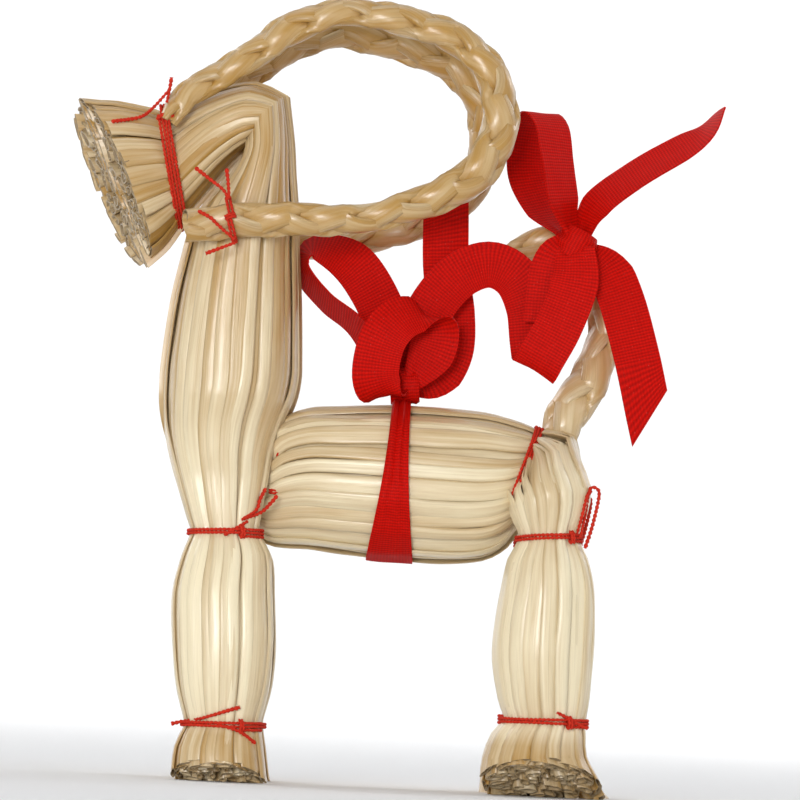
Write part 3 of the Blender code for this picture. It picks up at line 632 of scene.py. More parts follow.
def straw_ring(centre, tangent, out, half, height, shape, along):
    """One section of a flattened straw: arched on top, with a groove where it was pressed."""
    side = tangent.cross(out).normalized()
    over = side.cross(tangent).normalized()
    seed, groove_at, groove = shape
    points = []
    for s in STRAW_TOP:
        arch = (1 - abs(s) ** 4.5) ** 0.6 * (1 - 0.25 * s * s)
        dent = groove * math.exp(-(((s - groove_at) / 0.22) ** 2))
        dent += 0.30 * rough(seed, s * 1.3, along / (11 * MM))
        points.append(centre + side * half * s + over * height * (arch * (1 - dent)))
    for s in STRAW_UNDER:
        points.append(centre + side * half * s - over * height * 0.35)
    return points


def flattened(ring, cut, tangent):
    """The ring slid along the straw onto the plane of a cut."""
    lean = tangent.dot(cut.out)
    return [p + tangent * ((cut.point - p).dot(cut.out) / lean) for p in ring]


def end_hollow(skin, ring, inward, marks, depth=0.8 * MM, cut_tint_and_shade=1.0):
    """A cut end: the wall of the straw, then its hollow. The last number darkens both: the wall
    towards the cut colour, the deep hollow into painted shade.
    """
    points = [skin.points[i] for i in ring]
    middle = sum(points, Vector()) / len(points)
    rim_marks = {**marks, "cut": cut_tint_and_shade}
    rim = skin.add_points(points, **rim_marks)
    lip = skin.add_points([middle + (p - middle) * 0.74 for p in points], **rim_marks)
    deep_marks = {**marks, "cut": 2 * cut_tint_and_shade}
    deep = skin.add_points(
        [middle + (p - middle) * 0.50 + inward * depth for p in points], **deep_marks
    )
    skin.join([rim, lip, deep])
    skin.add_face(tuple(deep))


def lay_straw(skin, line, outs, halves, height, seed, tone, start, end):
    """A straw along a line, cut at a plane at either end or left closed."""
    luck = random.Random(seed)
    shape = (seed % 97, luck.uniform(-0.5, 0.5), luck.choice((0.0, 0.0, 0.3, 0.55)))
    rings = []
    for i, (point, out, half, way, far) in enumerate(
        zip(line, outs, halves, tangents(line), distances(line))
    ):
        side = way.cross(out).normalized()
        if 0 < i < len(line) - 1:
            turn = ((line[i + 1] - point).normalized() - (point - line[i - 1]).normalized()) / 2
            half = half / math.sqrt(max(0.4, 1 - turn.dot(side) ** 2))
        rings.append((straw_ring(point, way, out, half, height, shape, far), way, far))
    top = len(STRAW_TOP) // 2
    for cut, end_at in ((start, 0), (end, -1)):
        if cut is None:
            continue
        kept = None
        while len(rings) > 3:
            middle = rings[end_at][0][top]
            if (middle - cut.point).dot(cut.out) < -0.3 * MM:
                break
            kept = rings.pop(end_at)
        last = rings[end_at]
        way = kept[1] if kept else last[1]
        flat = (flattened(last[0], cut, way), way, last[2])
        rings.insert(len(rings) if end_at else 0, flat)
    laid = [
        skin.add_points(
            ring, tone=tone, across=STRAW_TOP + STRAW_UNDER, along=far + seed % 89 * 0.013,
            warmth=tint_and_painted_light(ring),
        )
        for ring, _, far in rings
    ]
    skin.join(laid)
    marks = {"tone": tone, "along": 0.0, "warmth": 0.5}
    for cut, ring, inward in (
        (start, laid[0], (rings[1][0][top] - rings[0][0][top]).normalized()),
        (end, laid[-1], (rings[-2][0][top] - rings[-1][0][top]).normalized()),
    ):
        if cut is None:
            skin.add_face(tuple(ring))
        else:
            end_hollow(skin, ring, inward, marks)


def lay_stub(skin, line, radius, seed, tone, cut, cut_tint_and_shade):
    """A crumpled hollow straw inside a cut end, from within the bundle to the cut."""
    luck = random.Random(seed)
    squash, lie = luck.uniform(0.38, 0.85), luck.uniform(0, math.pi)
    waves = [(k, luck.uniform(0.0, 0.30) / k**0.5, luck.uniform(0, 6.28)) for k in (2, 3, 4)]
    way = (line[-1] - line[0]).normalized()
    side = way.cross(Vector((0.3, 0.8, 0.52))).normalized()
    over = way.cross(side)
    outline = []
    for angle in around(STUB_CORNERS):
        reach = radius * (1 + sum(size * math.sin(k * angle + p) for k, size, p in waves))
        x, y = reach * math.cos(angle), reach * math.sin(angle) * squash
        outline.append(
            side * (x * math.cos(lie) - y * math.sin(lie))
            + over * (x * math.sin(lie) + y * math.cos(lie))
        )
    spread = [math.cos(angle) for angle in around(STUB_CORNERS)]
    rings = [[point + o * share for o in outline] for point, share in zip(line, (0.7, 0.85, 1.0))]
    rings[-1] = flattened(rings[-1], cut, way)
    laid = [
        skin.add_points(ring, tone=tone, across=spread, along=0.2, cut=0.4 * cut_tint_and_shade, warmth=0.7)
        for ring in rings
    ]
    skin.join(laid)
    end_hollow(skin, laid[-1], -way, {"tone": tone, "warmth": 0.7}, depth=2.4 * MM, cut_tint_and_shade=cut_tint_and_shade)


def lay_core(skin, sections, side, sink, leave=(0, 0)):
    """A dark middle of a bundle, painted shade that is seen only between its straws.

    leave is how many sections it stays away from either end.
    """
    rings = []
    for section in sections[leave[0] : len(sections) - leave[1]]:
        points = []
        for angle in around(CORE_CORNERS):
            deep = min(sink, 0.6 * (section.outer if math.sin(angle) > 0 else section.inner))
            points.append(on_section(section, side, angle, deep)[0])
        rings.append(skin.add_points(points, tone=0.5))
    skin.join(rings, coat=1, ends=True)


def laid_over(tree, line, outs, side):
    """A straw's line, lifted onto another bundle wherever it would run inside it."""
    lifts = []
    for point in line:
        start = Vector((point.x, side * OUTSIDE * MM, point.z))
        hit = tree.ray_cast(start, -ACROSS * side, OUTSIDE * MM)[0]
        lifts.append(0.0 if hit is None else max(0.0, (hit.y - point.y) * side + LIFT))
    for i, lift in enumerate(lifts):
        nearby = lifts[max(0, i - 2) : i + 3]
        lift = sum(nearby) / len(nearby) - LIFT * max(0.0, 1 - i / 4)
        if lift > 0:
            line[i] = line[i] + ACROSS * side * lift
            outs[i] = (outs[i] + ACROSS * side * min(2.0, lift / MM)).normalized()


def lay_bundle(skin, sections, side, width, height, seed, start=None, end=None, over=None):
    """A bundle of straws along its sections: an outer layer over a hidden one over the core.

    over is the tree of a bundle that the straws of this one lie on where the two meet.
    """
    luck = random.Random(seed)
    widest = max(sections, key=size_of)
    girth = girth_angles(widest, side, 1)[1]
    for layer in reversed(range(LAYERS)):
        count = round(girth / (width * LAPPING))
        if layer:
            count = round(count * HIDDEN_SHARE)
        for k, base in enumerate(girth_angles(widest, side, count)[0]):
            drift = luck.uniform(-0.13, 0.13)
            base += luck.uniform(-0.05, 0.05)
            sink = height * luck.choice(SINKS) + layer * height * LAYER_DEPTH
            number = seed * 1000 + layer * 200 + k
            tone = luck.random()
            roll = luck.uniform(-0.30, 0.30)
            breadth = luck.choice(BREADTHS)
            line, outs, halves = [], [], []
            for i, section in enumerate(sections):
                share = i / len(sections)
                angle = base + drift * share + 0.03 * rough(number % 89, share * 4)
                deep = sink + 0.12 * MM * rough(number % 83, share * 9)
                deep = min(deep, 0.5 * section.outer)
                point, out = on_section(section, side, angle, deep)
                line.append(point)
                flat = section.wide.normalized() * -math.sin(angle)
                flat += ACROSS * side * math.cos(angle)
                outs.append((out * math.cos(roll) + flat * math.sin(roll)).normalized())
                half = width / 2 * breadth * (size_of(section) / size_of(widest)) ** 0.75
                halves.append(half * (1 + 0.10 * rough(number % 79, share * 7)))
            if over and not layer and math.sin(base) > 0.25:
                laid_over(over, line, outs, side)
            wobble = luck.uniform(-0.3, 0.5) * MM
            cuts = [
                Cut(cut.point + cut.out * wobble, cut.out) if cut else None for cut in (start, end)
            ]
            lay_straw(
                skin, line, outs, halves, height * luck.uniform(0.85, 1.15), number, tone, *cuts
            )


def lay_stubs(skin, sections, side, cut, place, seed, half=False):
    """The cut straws that fill the end of a bundle, whose sections run from within to the cut."""
    luck = random.Random(seed)
    radius, count, cut_tint_and_shade = STUBS[place]
    golden = math.pi * (3 - math.sqrt(5))
    for k in range(count):
        share = math.sqrt((k + 0.5) / count) * 0.86
        angle = k * golden + luck.uniform(-0.12, 0.12)
        if half and math.sin(angle) < -0.05:
            continue
        line = []
        for section in sections:
            reach = section.outer if math.sin(angle) >= 0 else section.inner
            point = section.centre + section.wide * math.cos(angle) * share
            point += ACROSS * side * (section.middle + math.sin(angle) * reach * share)
            line.append(point)
        wobble = luck.uniform(-0.6, 0.2) * MM
        stub_cut = Cut(cut.point + cut.out * wobble, cut.out)
        size = radius * MM * luck.uniform(0.75, 1.2)
        lay_stub(skin, line, size, seed * 500 + k, luck.random(), stub_cut, cut_tint_and_shade)


def foot_cut(leg, side, last):
    """The plane of a foot's cut."""
    slant, drop = FOOT_CUTS[(leg, side)]
    middle = last.centre + ACROSS * side * last.middle - Vector((0.0, 0.0, drop * MM))
    out = Vector((0.0, side * math.sin(slant), -math.cos(slant)))
    return Cut(middle, out)


def above_ground(skin):
    """What is cut off by the floor that the goat stands on."""
    skin.points = [Vector((p.x, p.y, max(p.z, 0.02 * MM))) for p in skin.points]


# Plaits

STRAND_STRAWS = [(-1.0, -0.36), (-0.36, 0.28), (0.28, 1.0)]  # the flat straws across a strand


def strand_top():
    """Across a strand, its straws lap over each other: (across, height, across its own straw)."""
    points = []
    for left, right in STRAND_STRAWS:
        for t in (-1.0, -0.8, -0.35, 0.2, 0.7, 1.0):
            x = (left + right) / 2 + t * (right - left) / 2
            arch = (1 - min(1.0, abs(x)) ** 2.6) ** 0.5
            points.append((x, arch * (0.90 + 0.05 * t + 0.05 * (1 - t * t)), t))
    return points


STRAND_TOP = strand_top()
STRAND_UNDER = [(0.7, -0.55, 0.5), (0.0, -0.8, 0.0), (-0.7, -0.55, -0.5)]
PLAIT_SPACING = 0.7 * MM
# How far a strand goes across and out from the plait's middle line, and how far it tips, in
# radians; the first two are shares of half the plait's width and depth.
STRAND_SWING, STRAND_RISE, STRAND_TIP = 0.50, 0.46, 0.95


def lay_plait(skin, middles, halves, turn, pitch, seed):
    """Three flat strands, each of straws side by side, crossing over each other along a line.

    turn rolls the plait about its line.
    """
    luck = random.Random(seed)
    steps = spaced(middles, PLAIT_SPACING)
    line, halves = smooth(middles, steps), smooth(halves, steps)
    lengths = distances(line)
    frames = []
    for way in tangents(line):
        lateral = way.cross(ACROSS).normalized()
        outward = lateral.cross(way).normalized()
        frames.append(
            (
                lateral * math.cos(turn) + outward * math.sin(turn),
                outward * math.cos(turn) - lateral * math.sin(turn),
            )
        )
    for strand in range(3):
        centres, outs = [], []
        for point, half, (lateral, outward), far in zip(line, halves, frames, lengths):
            angle = math.tau * (far / pitch + strand / 3)
            deep = half * PLAIT_DEPTH
            swing = (math.sin(angle) - math.sin(3 * angle) / 9) / 1.11
            centre = point + lateral * (STRAND_SWING * half * swing)
            centre += outward * (STRAND_RISE * deep * math.sin(2 * angle))
            tip = STRAND_TIP * math.tanh(2.2 * math.sin(2 * angle)) * math.sin(angle)
            centres.append(centre)
            outs.append(outward * math.cos(tip) + lateral * math.sin(tip))
        strand_ways = tangents(centres)
        tones = [luck.random() for _ in STRAND_STRAWS]
        count = len(STRAND_TOP) // len(STRAND_STRAWS)
        tone = [tones[k // count] for k in range(len(STRAND_TOP))] + [0.8] * len(STRAND_UNDER)
        laid = []
        for point, centre, out, half, way, far, (lateral, outward) in zip(
            line, centres, outs, halves, strand_ways, lengths, frames
        ):
            side = way.cross(out).normalized()
            over = side.cross(way).normalized()
            full = half * (0.70 + 0.03 * rough(seed + strand, far / (5 * MM)))
            thick = half * PLAIT_DEPTH * 0.60
            ring = []
            for x, y, _ in STRAND_TOP + STRAND_UNDER:
                lift = 0.05 * rough(seed + strand, x * 2.0, far / (4 * MM))
                spot = centre + side * x * full + over * (y + lift) * thick - point
                a, b = spot.dot(lateral) / half, spot.dot(outward) / (half * PLAIT_DEPTH)
                reach = (abs(a) ** 2.6 + abs(b) ** 2.6) ** (1 / 2.6)
                pressed = min(reach, 0.80 + (reach - 0.80) * 0.42) / max(reach, 0.01)
                ring.append(point + spot * pressed)
            laid.append(
                skin.add_points(
                    ring, tone=tone, across=[t for _, _, t in STRAND_TOP + STRAND_UNDER],
                    along=far + strand * 0.31, warmth=[0.25 + h * 0.75 for h in tint_and_painted_light(ring)],
                )
            )
        skin.join(laid)
        marks = {"tone": 0.6, "along": 0.0, "warmth": 0.5}
        end_hollow(skin, laid[0], strand_ways[0], marks)
        end_hollow(skin, laid[-1], -strand_ways[-1], marks)


def horn_middles(side):
    """The middle line of a horn; the shift of the far one fades out at both its ends."""
    shift = FAR_HORN_SHIFT if side == FAR else (0.0, 0.0)
    middles = []
    for i, (plan, _, share) in enumerate(HORN):
        ease = min(i, len(HORN) - 1 - i, 4) / 4
        place = (plan[0] + shift[0] * ease, plan[1] + shift[1] * ease)
        middles.append(at(place, side * (HORN_SPREAD * (1 - share) + HORN_REST * share)))
    return middles


# Ribbon

STRIP_ACROSS = [-1.0, -0.75, -0.5, -0.25, 0.0, 0.25, 0.5, 0.75, 1.0]
RIBBON_SPACING = 0.8 * MM
PLEAT, WAVE = 0.45, 0.16  # half a full pleat's height and a wave's height, in millimetres


def lay_strip(
    skin, line, widths, shares, width, thickness, seed, start_along=0.0, cupped=0.0, slant=0.0
):
    """A run of ribbon: widths are directions, and shares less than 1 gather it in pleats.

    slant is how far the middle of its end lies from the corners of a cut across it.
    """
    laid = []
    for i, (point, across, share, way, far) in enumerate(
        zip(line, widths, shares, tangents(line), distances(line, start_along))
    ):
        across = (across - way * across.dot(way)).normalized()
        normal = way.cross(across).normalized()
        half = width / 2 * share
        faces = []
        for face in (-1, 1):
            row = []
            for s in STRIP_ACROSS:
                pleat = (1 - share) * PLEAT * MM * (1 + math.sin(s * 7.5 + seed))
                wave = WAVE * MM * rough(seed, s * 0.8, far / (7 * MM))
                rise = pleat + wave + cupped * (s * s - 0.35)
                further = max(0.0, slant * s + abs(slant)) * max(0.0, 1 - (len(line) - 1 - i) / 6)
                raised = normal * (rise + face * thickness / 2)
                row.append(point + across * half * s + raised + way * further)
            faces.append(row)
        ring = faces[0] + faces[1][::-1]
        spread = STRIP_ACROSS + STRIP_ACROSS[::-1]
        laid.append(skin.add_points(ring, across=spread, along=far))
    skin.join(laid, ends=True)


def gathered_shares(line, at_start, at_end):
    """The share of the ribbon's width along a run, narrower where it goes into a knot."""
    steps = [(b - a).length for a, b in zip(line, line[1:])]
    shares = []
    for i in range(len(line)):
        share = 1.0
        for least, far in ((at_start, sum(steps[:i])), (at_end, sum(steps[i:]))):
            if far < GATHERED_LENGTH:
                share = min(share, least + (1 - least) * (far / GATHERED_LENGTH) ** 0.8)
        shares.append(share)
    return shares


def lay_run(skin, stations, at_start, at_end, slant, settings, seed):
    """One run of ribbon through its stations."""
    middles = [at(plan, across) for plan, across, _, _ in stations]
    steps = spaced(middles, RIBBON_SPACING)
    widths = []
    for _, _, roll, tilt in stations:
        roll, tilt = math.radians(roll), math.radians(tilt)
        flat = Vector((math.cos(roll), 0.0, math.sin(roll)))
        widths.append(flat * math.cos(tilt) + ACROSS * math.sin(tilt))
    line = smooth(middles, steps)
    shares = gathered_shares(line, at_start, at_end)
    lay_strip(
        skin, line, smooth(widths, steps), shares, settings.width, settings.thickness, seed,
        start_along=seed * 0.031, slant=slant * MM,
    )


def lay_wrap(skin, centre, axis, radii, settings, seed):
    """The turn of ribbon round the middle of a bow: axis is the way through the turn."""
    axis = axis.normalized()
    first = axis.cross(ACROSS).normalized()
    second = axis.cross(first).normalized()
    wide, deep = (radius * MM for radius in radii)
    line = [
        centre + first * wide * math.cos(angle) + second * deep * math.sin(angle)
        for angle in around(40, 43)
    ]
    lay_strip(
        skin, line, [axis] * len(line), [WRAP_SHARE] * len(line), settings.width,
        settings.thickness, seed, cupped=-0.3 * MM,
    )


# Thread and taut loops

LOOP_RAYS = 120
THREAD_CORNERS = 8
THREAD_SPACING = 0.16 * MM
THREAD_STEP = 4.0 * MM  # the most that a loose end goes in or out from one point to the next
TIE_SLIDES = (-0.4 * MM, 0.0, 0.4 * MM)  # where a tie feels for the straw, along its axis
TURN_STEPS = 44  # points in one turn of thread


def surfaces(*names, margin=1.2 * MM):
    """The surfaces of these pieces, each with how far outside a loop's plan it may still lie."""
    return [(TREES[name], margin) for name in names]


def hull_of(spots):
    """The convex outline of points in a plane, anticlockwise."""
    spots = sorted(set(spots))

    def chain(points):
        kept = []
        for p in points:
            while len(kept) > 1:
                (ax, ay), (bx, by) = kept[-2], kept[-1]
                if (bx - ax) * (p[1] - ay) - (by - ay) * (p[0] - ax) > 0:
                    break
                kept.pop()
            kept.append(p)
        return kept[:-1]

    return chain(spots) + chain(spots[::-1])


def reach_of(hull, angle):
    """How far the outline reaches from the middle in one direction."""
    dx, dy = math.cos(angle), math.sin(angle)
    best = 0.0
    for (ax, ay), (bx, by) in zip(hull, hull[1:] + hull[:1]):
        ca, cb = dx * ay - dy * ax, dx * by - dy * bx
        if (ca <= 0) == (cb <= 0):
            continue
        t = ca / (ca - cb)
        best = max(best, dx * (ax + t * (bx - ax)) + dy * (ay + t * (by - ay)))
    return best


class Loop:
    """A loop pulled taut round what lies in a plane of the goat."""

    def __init__(self, trees, edges, middle, reach, slides):
        lower, upper = at(edges[0]), at(edges[1])
        self.centre = (lower + upper) / 2 + ACROSS * middle * MM
        self.up = (upper - lower).normalized()
        self.axis = self.up.cross(ACROSS)
        tall = (upper - lower).length / 2
        spots = []
        for angle in around(LOOP_RAYS):
            way = self.out(angle)
            oval = 1 / math.hypot(math.cos(angle) / tall, math.sin(angle) / (reach * MM))
            best = oval * 0.8
            for tree, margin in trees:
                limit = oval + margin
                for slide in slides:
                    start = self.centre + self.axis * slide + way * limit
                    hit = tree.ray_cast(start, -way, limit)[0]
                    if hit is not None:
                        best = max(best, limit - (hit - start).length)
            spots.append((best * math.cos(angle), best * math.sin(angle)))
        self.hull = hull_of(spots)

    def point(self, angle, slide, off):
        reach = reach_of(self.hull, angle) + off
        return self.centre + self.axis * slide + self.out(angle) * reach

    def out(self, angle):
        return self.up * math.cos(angle) + ACROSS * math.sin(angle)


def lay_thread(skin, line, settings, seed, fray=False):
    """Two plies of thread twisted round each other, along a line of points."""
    fine = smooth(line, spaced(line, THREAD_SPACING))
    ways = tangents(fine)
    side = ways[0].cross(Vector((0.31, 0.77, 0.55))).normalized()
    laid = []
    for i, (point, way, far) in enumerate(zip(fine, ways, distances(fine))):
        side = (side - way * side.dot(way)).normalized()
        over = way.cross(side)
        left = (len(fine) - i) / len(fine)
        size = settings.radius * (1 + (0.35 * (1 - left) if fray else 0.0))
        ring = []
        lay = math.tau * far / settings.twist
        for angle in around(THREAD_CORNERS):
            reach = size * (0.80 + 0.26 * math.cos(2 * (angle - lay)))
            reach *= 1 + 0.10 * rough(seed, angle, far / (0.5 * MM))
            ring.append(point + (side * math.cos(angle) + over * math.sin(angle)) * reach)
        laid.append(skin.add_points(ring, along=far, tone=rough(seed, far / MM)))
    skin.join(laid, ends=True)


def lay_turns(skin, loop, turns, knot_angle, sink, settings, seed):
    """Turns of thread side by side round a taut loop, and a hitch over them at the knot.

    sink is how deep the thread is drawn in between the straws.
    """
    radius = settings.radius
    band = 2 * radius * 0.95
    luck = random.Random(seed)
    points = []
    for i in range(int(turns * TURN_STEPS) + 1):
        angle = knot_angle + math.tau * i / TURN_STEPS
        slide = (i / TURN_STEPS - turns / 2) * band + 0.10 * MM * rough(seed, i / 9)
        off = radius * (1.0 + 0.15 * rough(seed + 3, i / 5)) - sink
        points.append(loop.point(angle, slide, off))
    lay_thread(skin, points, settings, seed)
    out = loop.out(knot_angle)
    middle = loop.point(knot_angle, 0.0, radius - sink)
    hitch = []
    wide = band * turns / 2 + radius
    for i, angle in enumerate(around(11, 17)):
        lean = loop.axis.cross(out) * (luck.uniform(-0.05, 0.05) * MM + i * 0.035 * MM)
        raised = out * math.sin(angle) * 2.1 * radius
        hitch.append(middle + loop.axis * math.cos(angle) * wide + raised + lean)
    lay_thread(skin, hitch, settings, seed + 1)
    return middle


def rest_on(trees, plan, side, fallback, off):
    """Where a thread lies on what is nearest to the outside at a point of the side view."""
    start = at(plan, side * OUTSIDE)
    best = None
    for tree, _ in trees:
        hit = tree.ray_cast(start, -ACROSS * side, (OUTSIDE + 5) * MM)[0]
        if hit is not None and (best is None or hit.y * side > best.y * side):
            best = hit
    if best is None or abs(best.y - fallback) > THREAD_STEP:
        return at(plan) + ACROSS * fallback
    return best + ACROSS * side * off


def lay_loose_ends(skin, ends, trees, side, start, settings, seed):
    """Loose ends of thread that lie on the straw from the knot outwards."""
    for k, plans in enumerate(ends):
        depth = start.y
        points = []
        for i, plan in enumerate(plans):
            spot = rest_on(trees, plan, side, depth, settings.radius * (1.3 + 0.5 * i))
            depth = spot.y
            points.append(spot)
        lay_thread(skin, points, settings, seed + 10 * k, fray=True)


# Materials


class Value:
    """A number in a material that ordinary arithmetic can be written on."""

    def __init__(self, tree, socket):
        self.tree = tree
        self.socket = socket

    def _math(self, operation, *others):
        node = self.tree.nodes.new("ShaderNodeMath")
        node.operation = operation
        for place, other in enumerate(others):
            if isinstance(other, Value):
                self.tree.links.new(other.socket, node.inputs[place])
            else:
                node.inputs[place].default_value = other
        return Value(self.tree, node.outputs[0])

    def __add__(self, other):
        return self._math("ADD", self, other)

    def __radd__(self, other):
        return self._math("ADD", other, self)

    def __sub__(self, other):
        return self._math("SUBTRACT", self, other)

    def __mul__(self, other):
        return self._math("MULTIPLY", self, other)

    def __pow__(self, other):
        return self._math("POWER", self, other)

    def sine(self):
        return self._math("SINE", self)

    def clipped(self):
        return self._math("MINIMUM", self._math("MAXIMUM", self, 0.0), 1.0)


class Finish:
    """A material while it is put together."""

    def __init__(self, name):
        self.material = bpy.data.materials.new(name)
        self.material.use_nodes = True
        self.tree = self.material.node_tree
        self.shader = self.tree.nodes["Principled BSDF"]

    def node(self, kind, settings=None, **sockets):
        """A node of a kind, with its settings made first and then its sockets fed."""
        node = self.tree.nodes.new(kind)
        for name, value in (settings or {}).items():
            setattr(node, name, value)
        self.feed_named(node, sockets)
        return node

    def feed_named(self, node, sockets):
        for name, value in sockets.items():
            self.feed(node.inputs[name.replace("_", " ")], value)

    def made(self, **sockets):
        """The material, once these sockets of its shader are fed."""
        self.feed_named(self.shader, sockets)
        return self.material

    def feed(self, socket, value):
        if isinstance(value, Value):
            value = value.socket
        if isinstance(value, bpy.types.NodeSocket):
            self.tree.links.new(value, socket)
        else:
            socket.default_value = value

    def mark(self, name):
        settings = {"attribute_type": "GEOMETRY", "attribute_name": name}
        return Value(self.tree, self.node("ShaderNodeAttribute", settings).outputs["Fac"])

    def vector(self, x, y, z):
        return self.node("ShaderNodeCombineXYZ", X=x, Y=y, Z=z).outputs[0]

    def noise(self, vector, scale, detail):
        node = self.node("ShaderNodeTexNoise", Vector=vector, Scale=scale, Detail=detail)
        return Value(self.tree, node.outputs["Fac"])

    def mix(self, share, first, second):
        node = self.node("ShaderNodeMix", {"data_type": "RGBA"})
        self.feed(node.inputs[0], share)
        self.feed(node.inputs[6], first)
        self.feed(node.inputs[7], second)
        return node.outputs[2]

    def bump(self, height, distance, strength):
        node = self.node("ShaderNodeBump", Height=height, Distance=distance, Strength=strength)
        return node.outputs[0]


def colour(rgb, strength=1.0):
    return (*[min(1.0, part * strength) for part in rgb], 1.0)


def make_straw(settings):
    """Ripe straw: a waxy skin with fine fibres along it, paler and warmer straws, grey cuts, and
    painted light and shade: paler legs, darker feet, darker straw edges and dark cut hollows.
    """
    finish = Finish("waxy straw")
    tone, across, along = finish.mark("tone"), finish.mark("across"), finish.mark("along")
    cut, warmth = finish.mark("cut"), finish.mark("warmth")
    fibres = finish.noise(finish.vector(across * 7 + tone * 31, along * 60, tone * 17), 1.6, 3.0)
    streaks = finish.noise(finish.vector(across * 2.2 + tone * 13, along * 38, tone * 9), 1.3, 2.0)
    clouds = finish.noise(finish.vector(tone * 40, along * 90, across * 0.6), 1.0, 2.0)
    # the gold mix by height carries painted light on the paler legs and painted shade on the darker
    # feet
    ripe = (tone * 0.42 + streaks * 0.8 + clouds * 0.5 - 0.74 + warmth * 0.66).clipped()
    skin = finish.mix(ripe, colour(settings.pale), colour(settings.gold))
    dark = ((fibres - 0.56) * 3.2).clipped() * 0.34
    skin = finish.mix(dark, skin, colour(settings.gold, 0.55))
    # painted shade: each straw is darker along its edges, where it meets the next one
    edge = (across * across) ** 3.0
    skin = finish.mix((edge * 0.35).clipped(), skin, colour(settings.gold, 0.62))
    # cut colour on cut ends; where cut passes 1, deep in a cut straw's hollow, painted shade
    skin = finish.mix(cut.clipped(), skin, colour(settings.cut))
    skin = finish.mix(((cut - 1) * 0.8).clipped(), skin, colour(settings.shadow))
    return finish.made(
        Base_Color=skin,
        Roughness=(settings.roughness - 0.09 + fibres * 0.18 + cut * 0.3).clipped(),
        Normal=finish.bump(fibres + streaks * 0.7, 0.10 * MM, 0.7),
        Specular_IOR_Level=0.5,
        Coat_Weight=0.5,
        Coat_Roughness=0.26,
    )


def make_shadow(settings):
    """Painted shade: the dark that shows between the straws, on the cores of the bundles."""
    finish = Finish("painted shade between the straws")
    spot = finish.node("ShaderNodeTexCoord").outputs["Object"]
    grain = finish.noise(spot, 900.0, 3.0)
    dark = finish.mix(grain, colour(settings.shadow, 0.6), colour(settings.shadow, 1.5))
    return finish.made(Base_Color=dark, Roughness=0.8)


def make_ribbon(settings):
    """Red ribbon woven in fine cross ribs and warp lines, with small pale flecks."""
    finish = Finish("red ribbon")
    across, along = finish.mark("across"), finish.mark("along")
    spot = finish.vector(across * 7, along * 2000, 0.0)
    slack = finish.noise(finish.vector(across * 3.5, along * 300, 0.0), 1.0, 2.0)
    rib = ((along * (math.tau / settings.rib)) + slack * 2.0).sine() * 0.5 + 0.5
    warp = (across * (math.pi * settings.width / 2 / (0.24 * MM))).sine() * 0.5 + 0.5
    fleck = ((finish.noise(spot, 2.3, 1.0) - 0.70) * 9).clipped()
    weave = (rib * 0.6 + warp * 0.25 + slack * 0.3).clipped()
    shade = finish.mix(weave, colour(settings.colour, 0.62), colour(settings.colour, 1.28))
    shade = finish.mix(fleck * 0.25, shade, (0.8, 0.30, 0.25, 1.0))
    return finish.made(
        Base_Color=shade,
        Normal=finish.bump(rib + warp * 0.5, 0.05 * MM, 0.6),
        Roughness=0.6,
        Specular_IOR_Level=0.08,
    )


def make_thread(settings):
    """Red cotton thread."""
    finish = Finish("red thread")
    along, tone = finish.mark("along"), finish.mark("tone")
    fuzz = finish.noise(finish.vector(along * 3000, tone * 4, 0.0), 1.0, 2.0)
    return finish.made(
        Base_Color=finish.mix(fuzz, colour(settings.colour, 0.7), colour(settings.colour, 1.25)),
        Normal=finish.bump(fuzz, 0.06 * MM, 0.6),
        Roughness=0.8,
        Specular_IOR_Level=0.2,
    )


FINISHES = {}


def finish_of(make, settings):
    """A material, made the first time that it is asked for."""
    if make not in FINISHES:
        FINISHES[make] = make(settings)
    return FINISHES[make]


# The pieces, in the order they are made; TREES holds the surfaces that other pieces lie on.

TREES = {}


def straw_finishes(settings):
    return finish_of(make_straw, settings), finish_of(make_shadow, settings)


class DressFrontBundles(bpy.types.Operator):
    """Lays the straws that run from the muzzle over the nape and down into each front leg"""

    bl_idname = "straw_goat.front_bundles"
    bl_label = "Head, neck and front legs"

    def execute(self, context):
        settings = context.scene.straw_goat_straw
        sections = sections_of([HEAD, NECK_AND_LEG])
        first = sections[0]
        wide = first.wide.normalized()
        forward = wide.cross(ACROSS)
        out = forward * math.cos(MUZZLE_TURN) - ACROSS * math.sin(MUZZLE_TURN)
        muzzle = Cut(first.centre, out)
        for side, word in SIDES.items():
            skin = Skin(f"front_straw_{word}")
            foot = foot_cut("front", side, sections[-1])
            lay_core(skin, sections, side, 1.5 * MM, leave=(3, 3))
            lay_bundle(
                skin, sections, side, settings.width, settings.height, 11 + side, muzzle, foot
            )
            mouth = [sections[5], sections[2], first]
            lay_stubs(skin, mouth, side, muzzle, "muzzle", 31 + side, half=True)
            sole = [sections[-6], sections[-3], sections[-1]]
            lay_stubs(skin, sole, side, foot, "front foot", 41 + side)
            above_ground(skin)
            TREES[f"front {word}"] = skin.tree()
            dress(skin.piece(*straw_finishes(settings)), "straw", "neck_bundle")
        return {"FINISHED"}


class DressBody(bpy.types.Operator):
    """Lays the straws of the body"""

    bl_idname = "straw_goat.body"
    bl_label = "Body"

    def execute(self, context):
        settings = context.scene.straw_goat_straw
        skin = Skin("body_straw")
        sections = sections_of([BODY])
        lay_core(skin, sections, FAR, 1.4 * MM)
        lay_bundle(skin, sections, FAR, settings.width * 0.86, settings.height, 5)
        TREES["body"] = skin.tree()
        dress(skin.piece(*straw_finishes(settings)), "straw", "body_bundle")
        return {"FINISHED"}


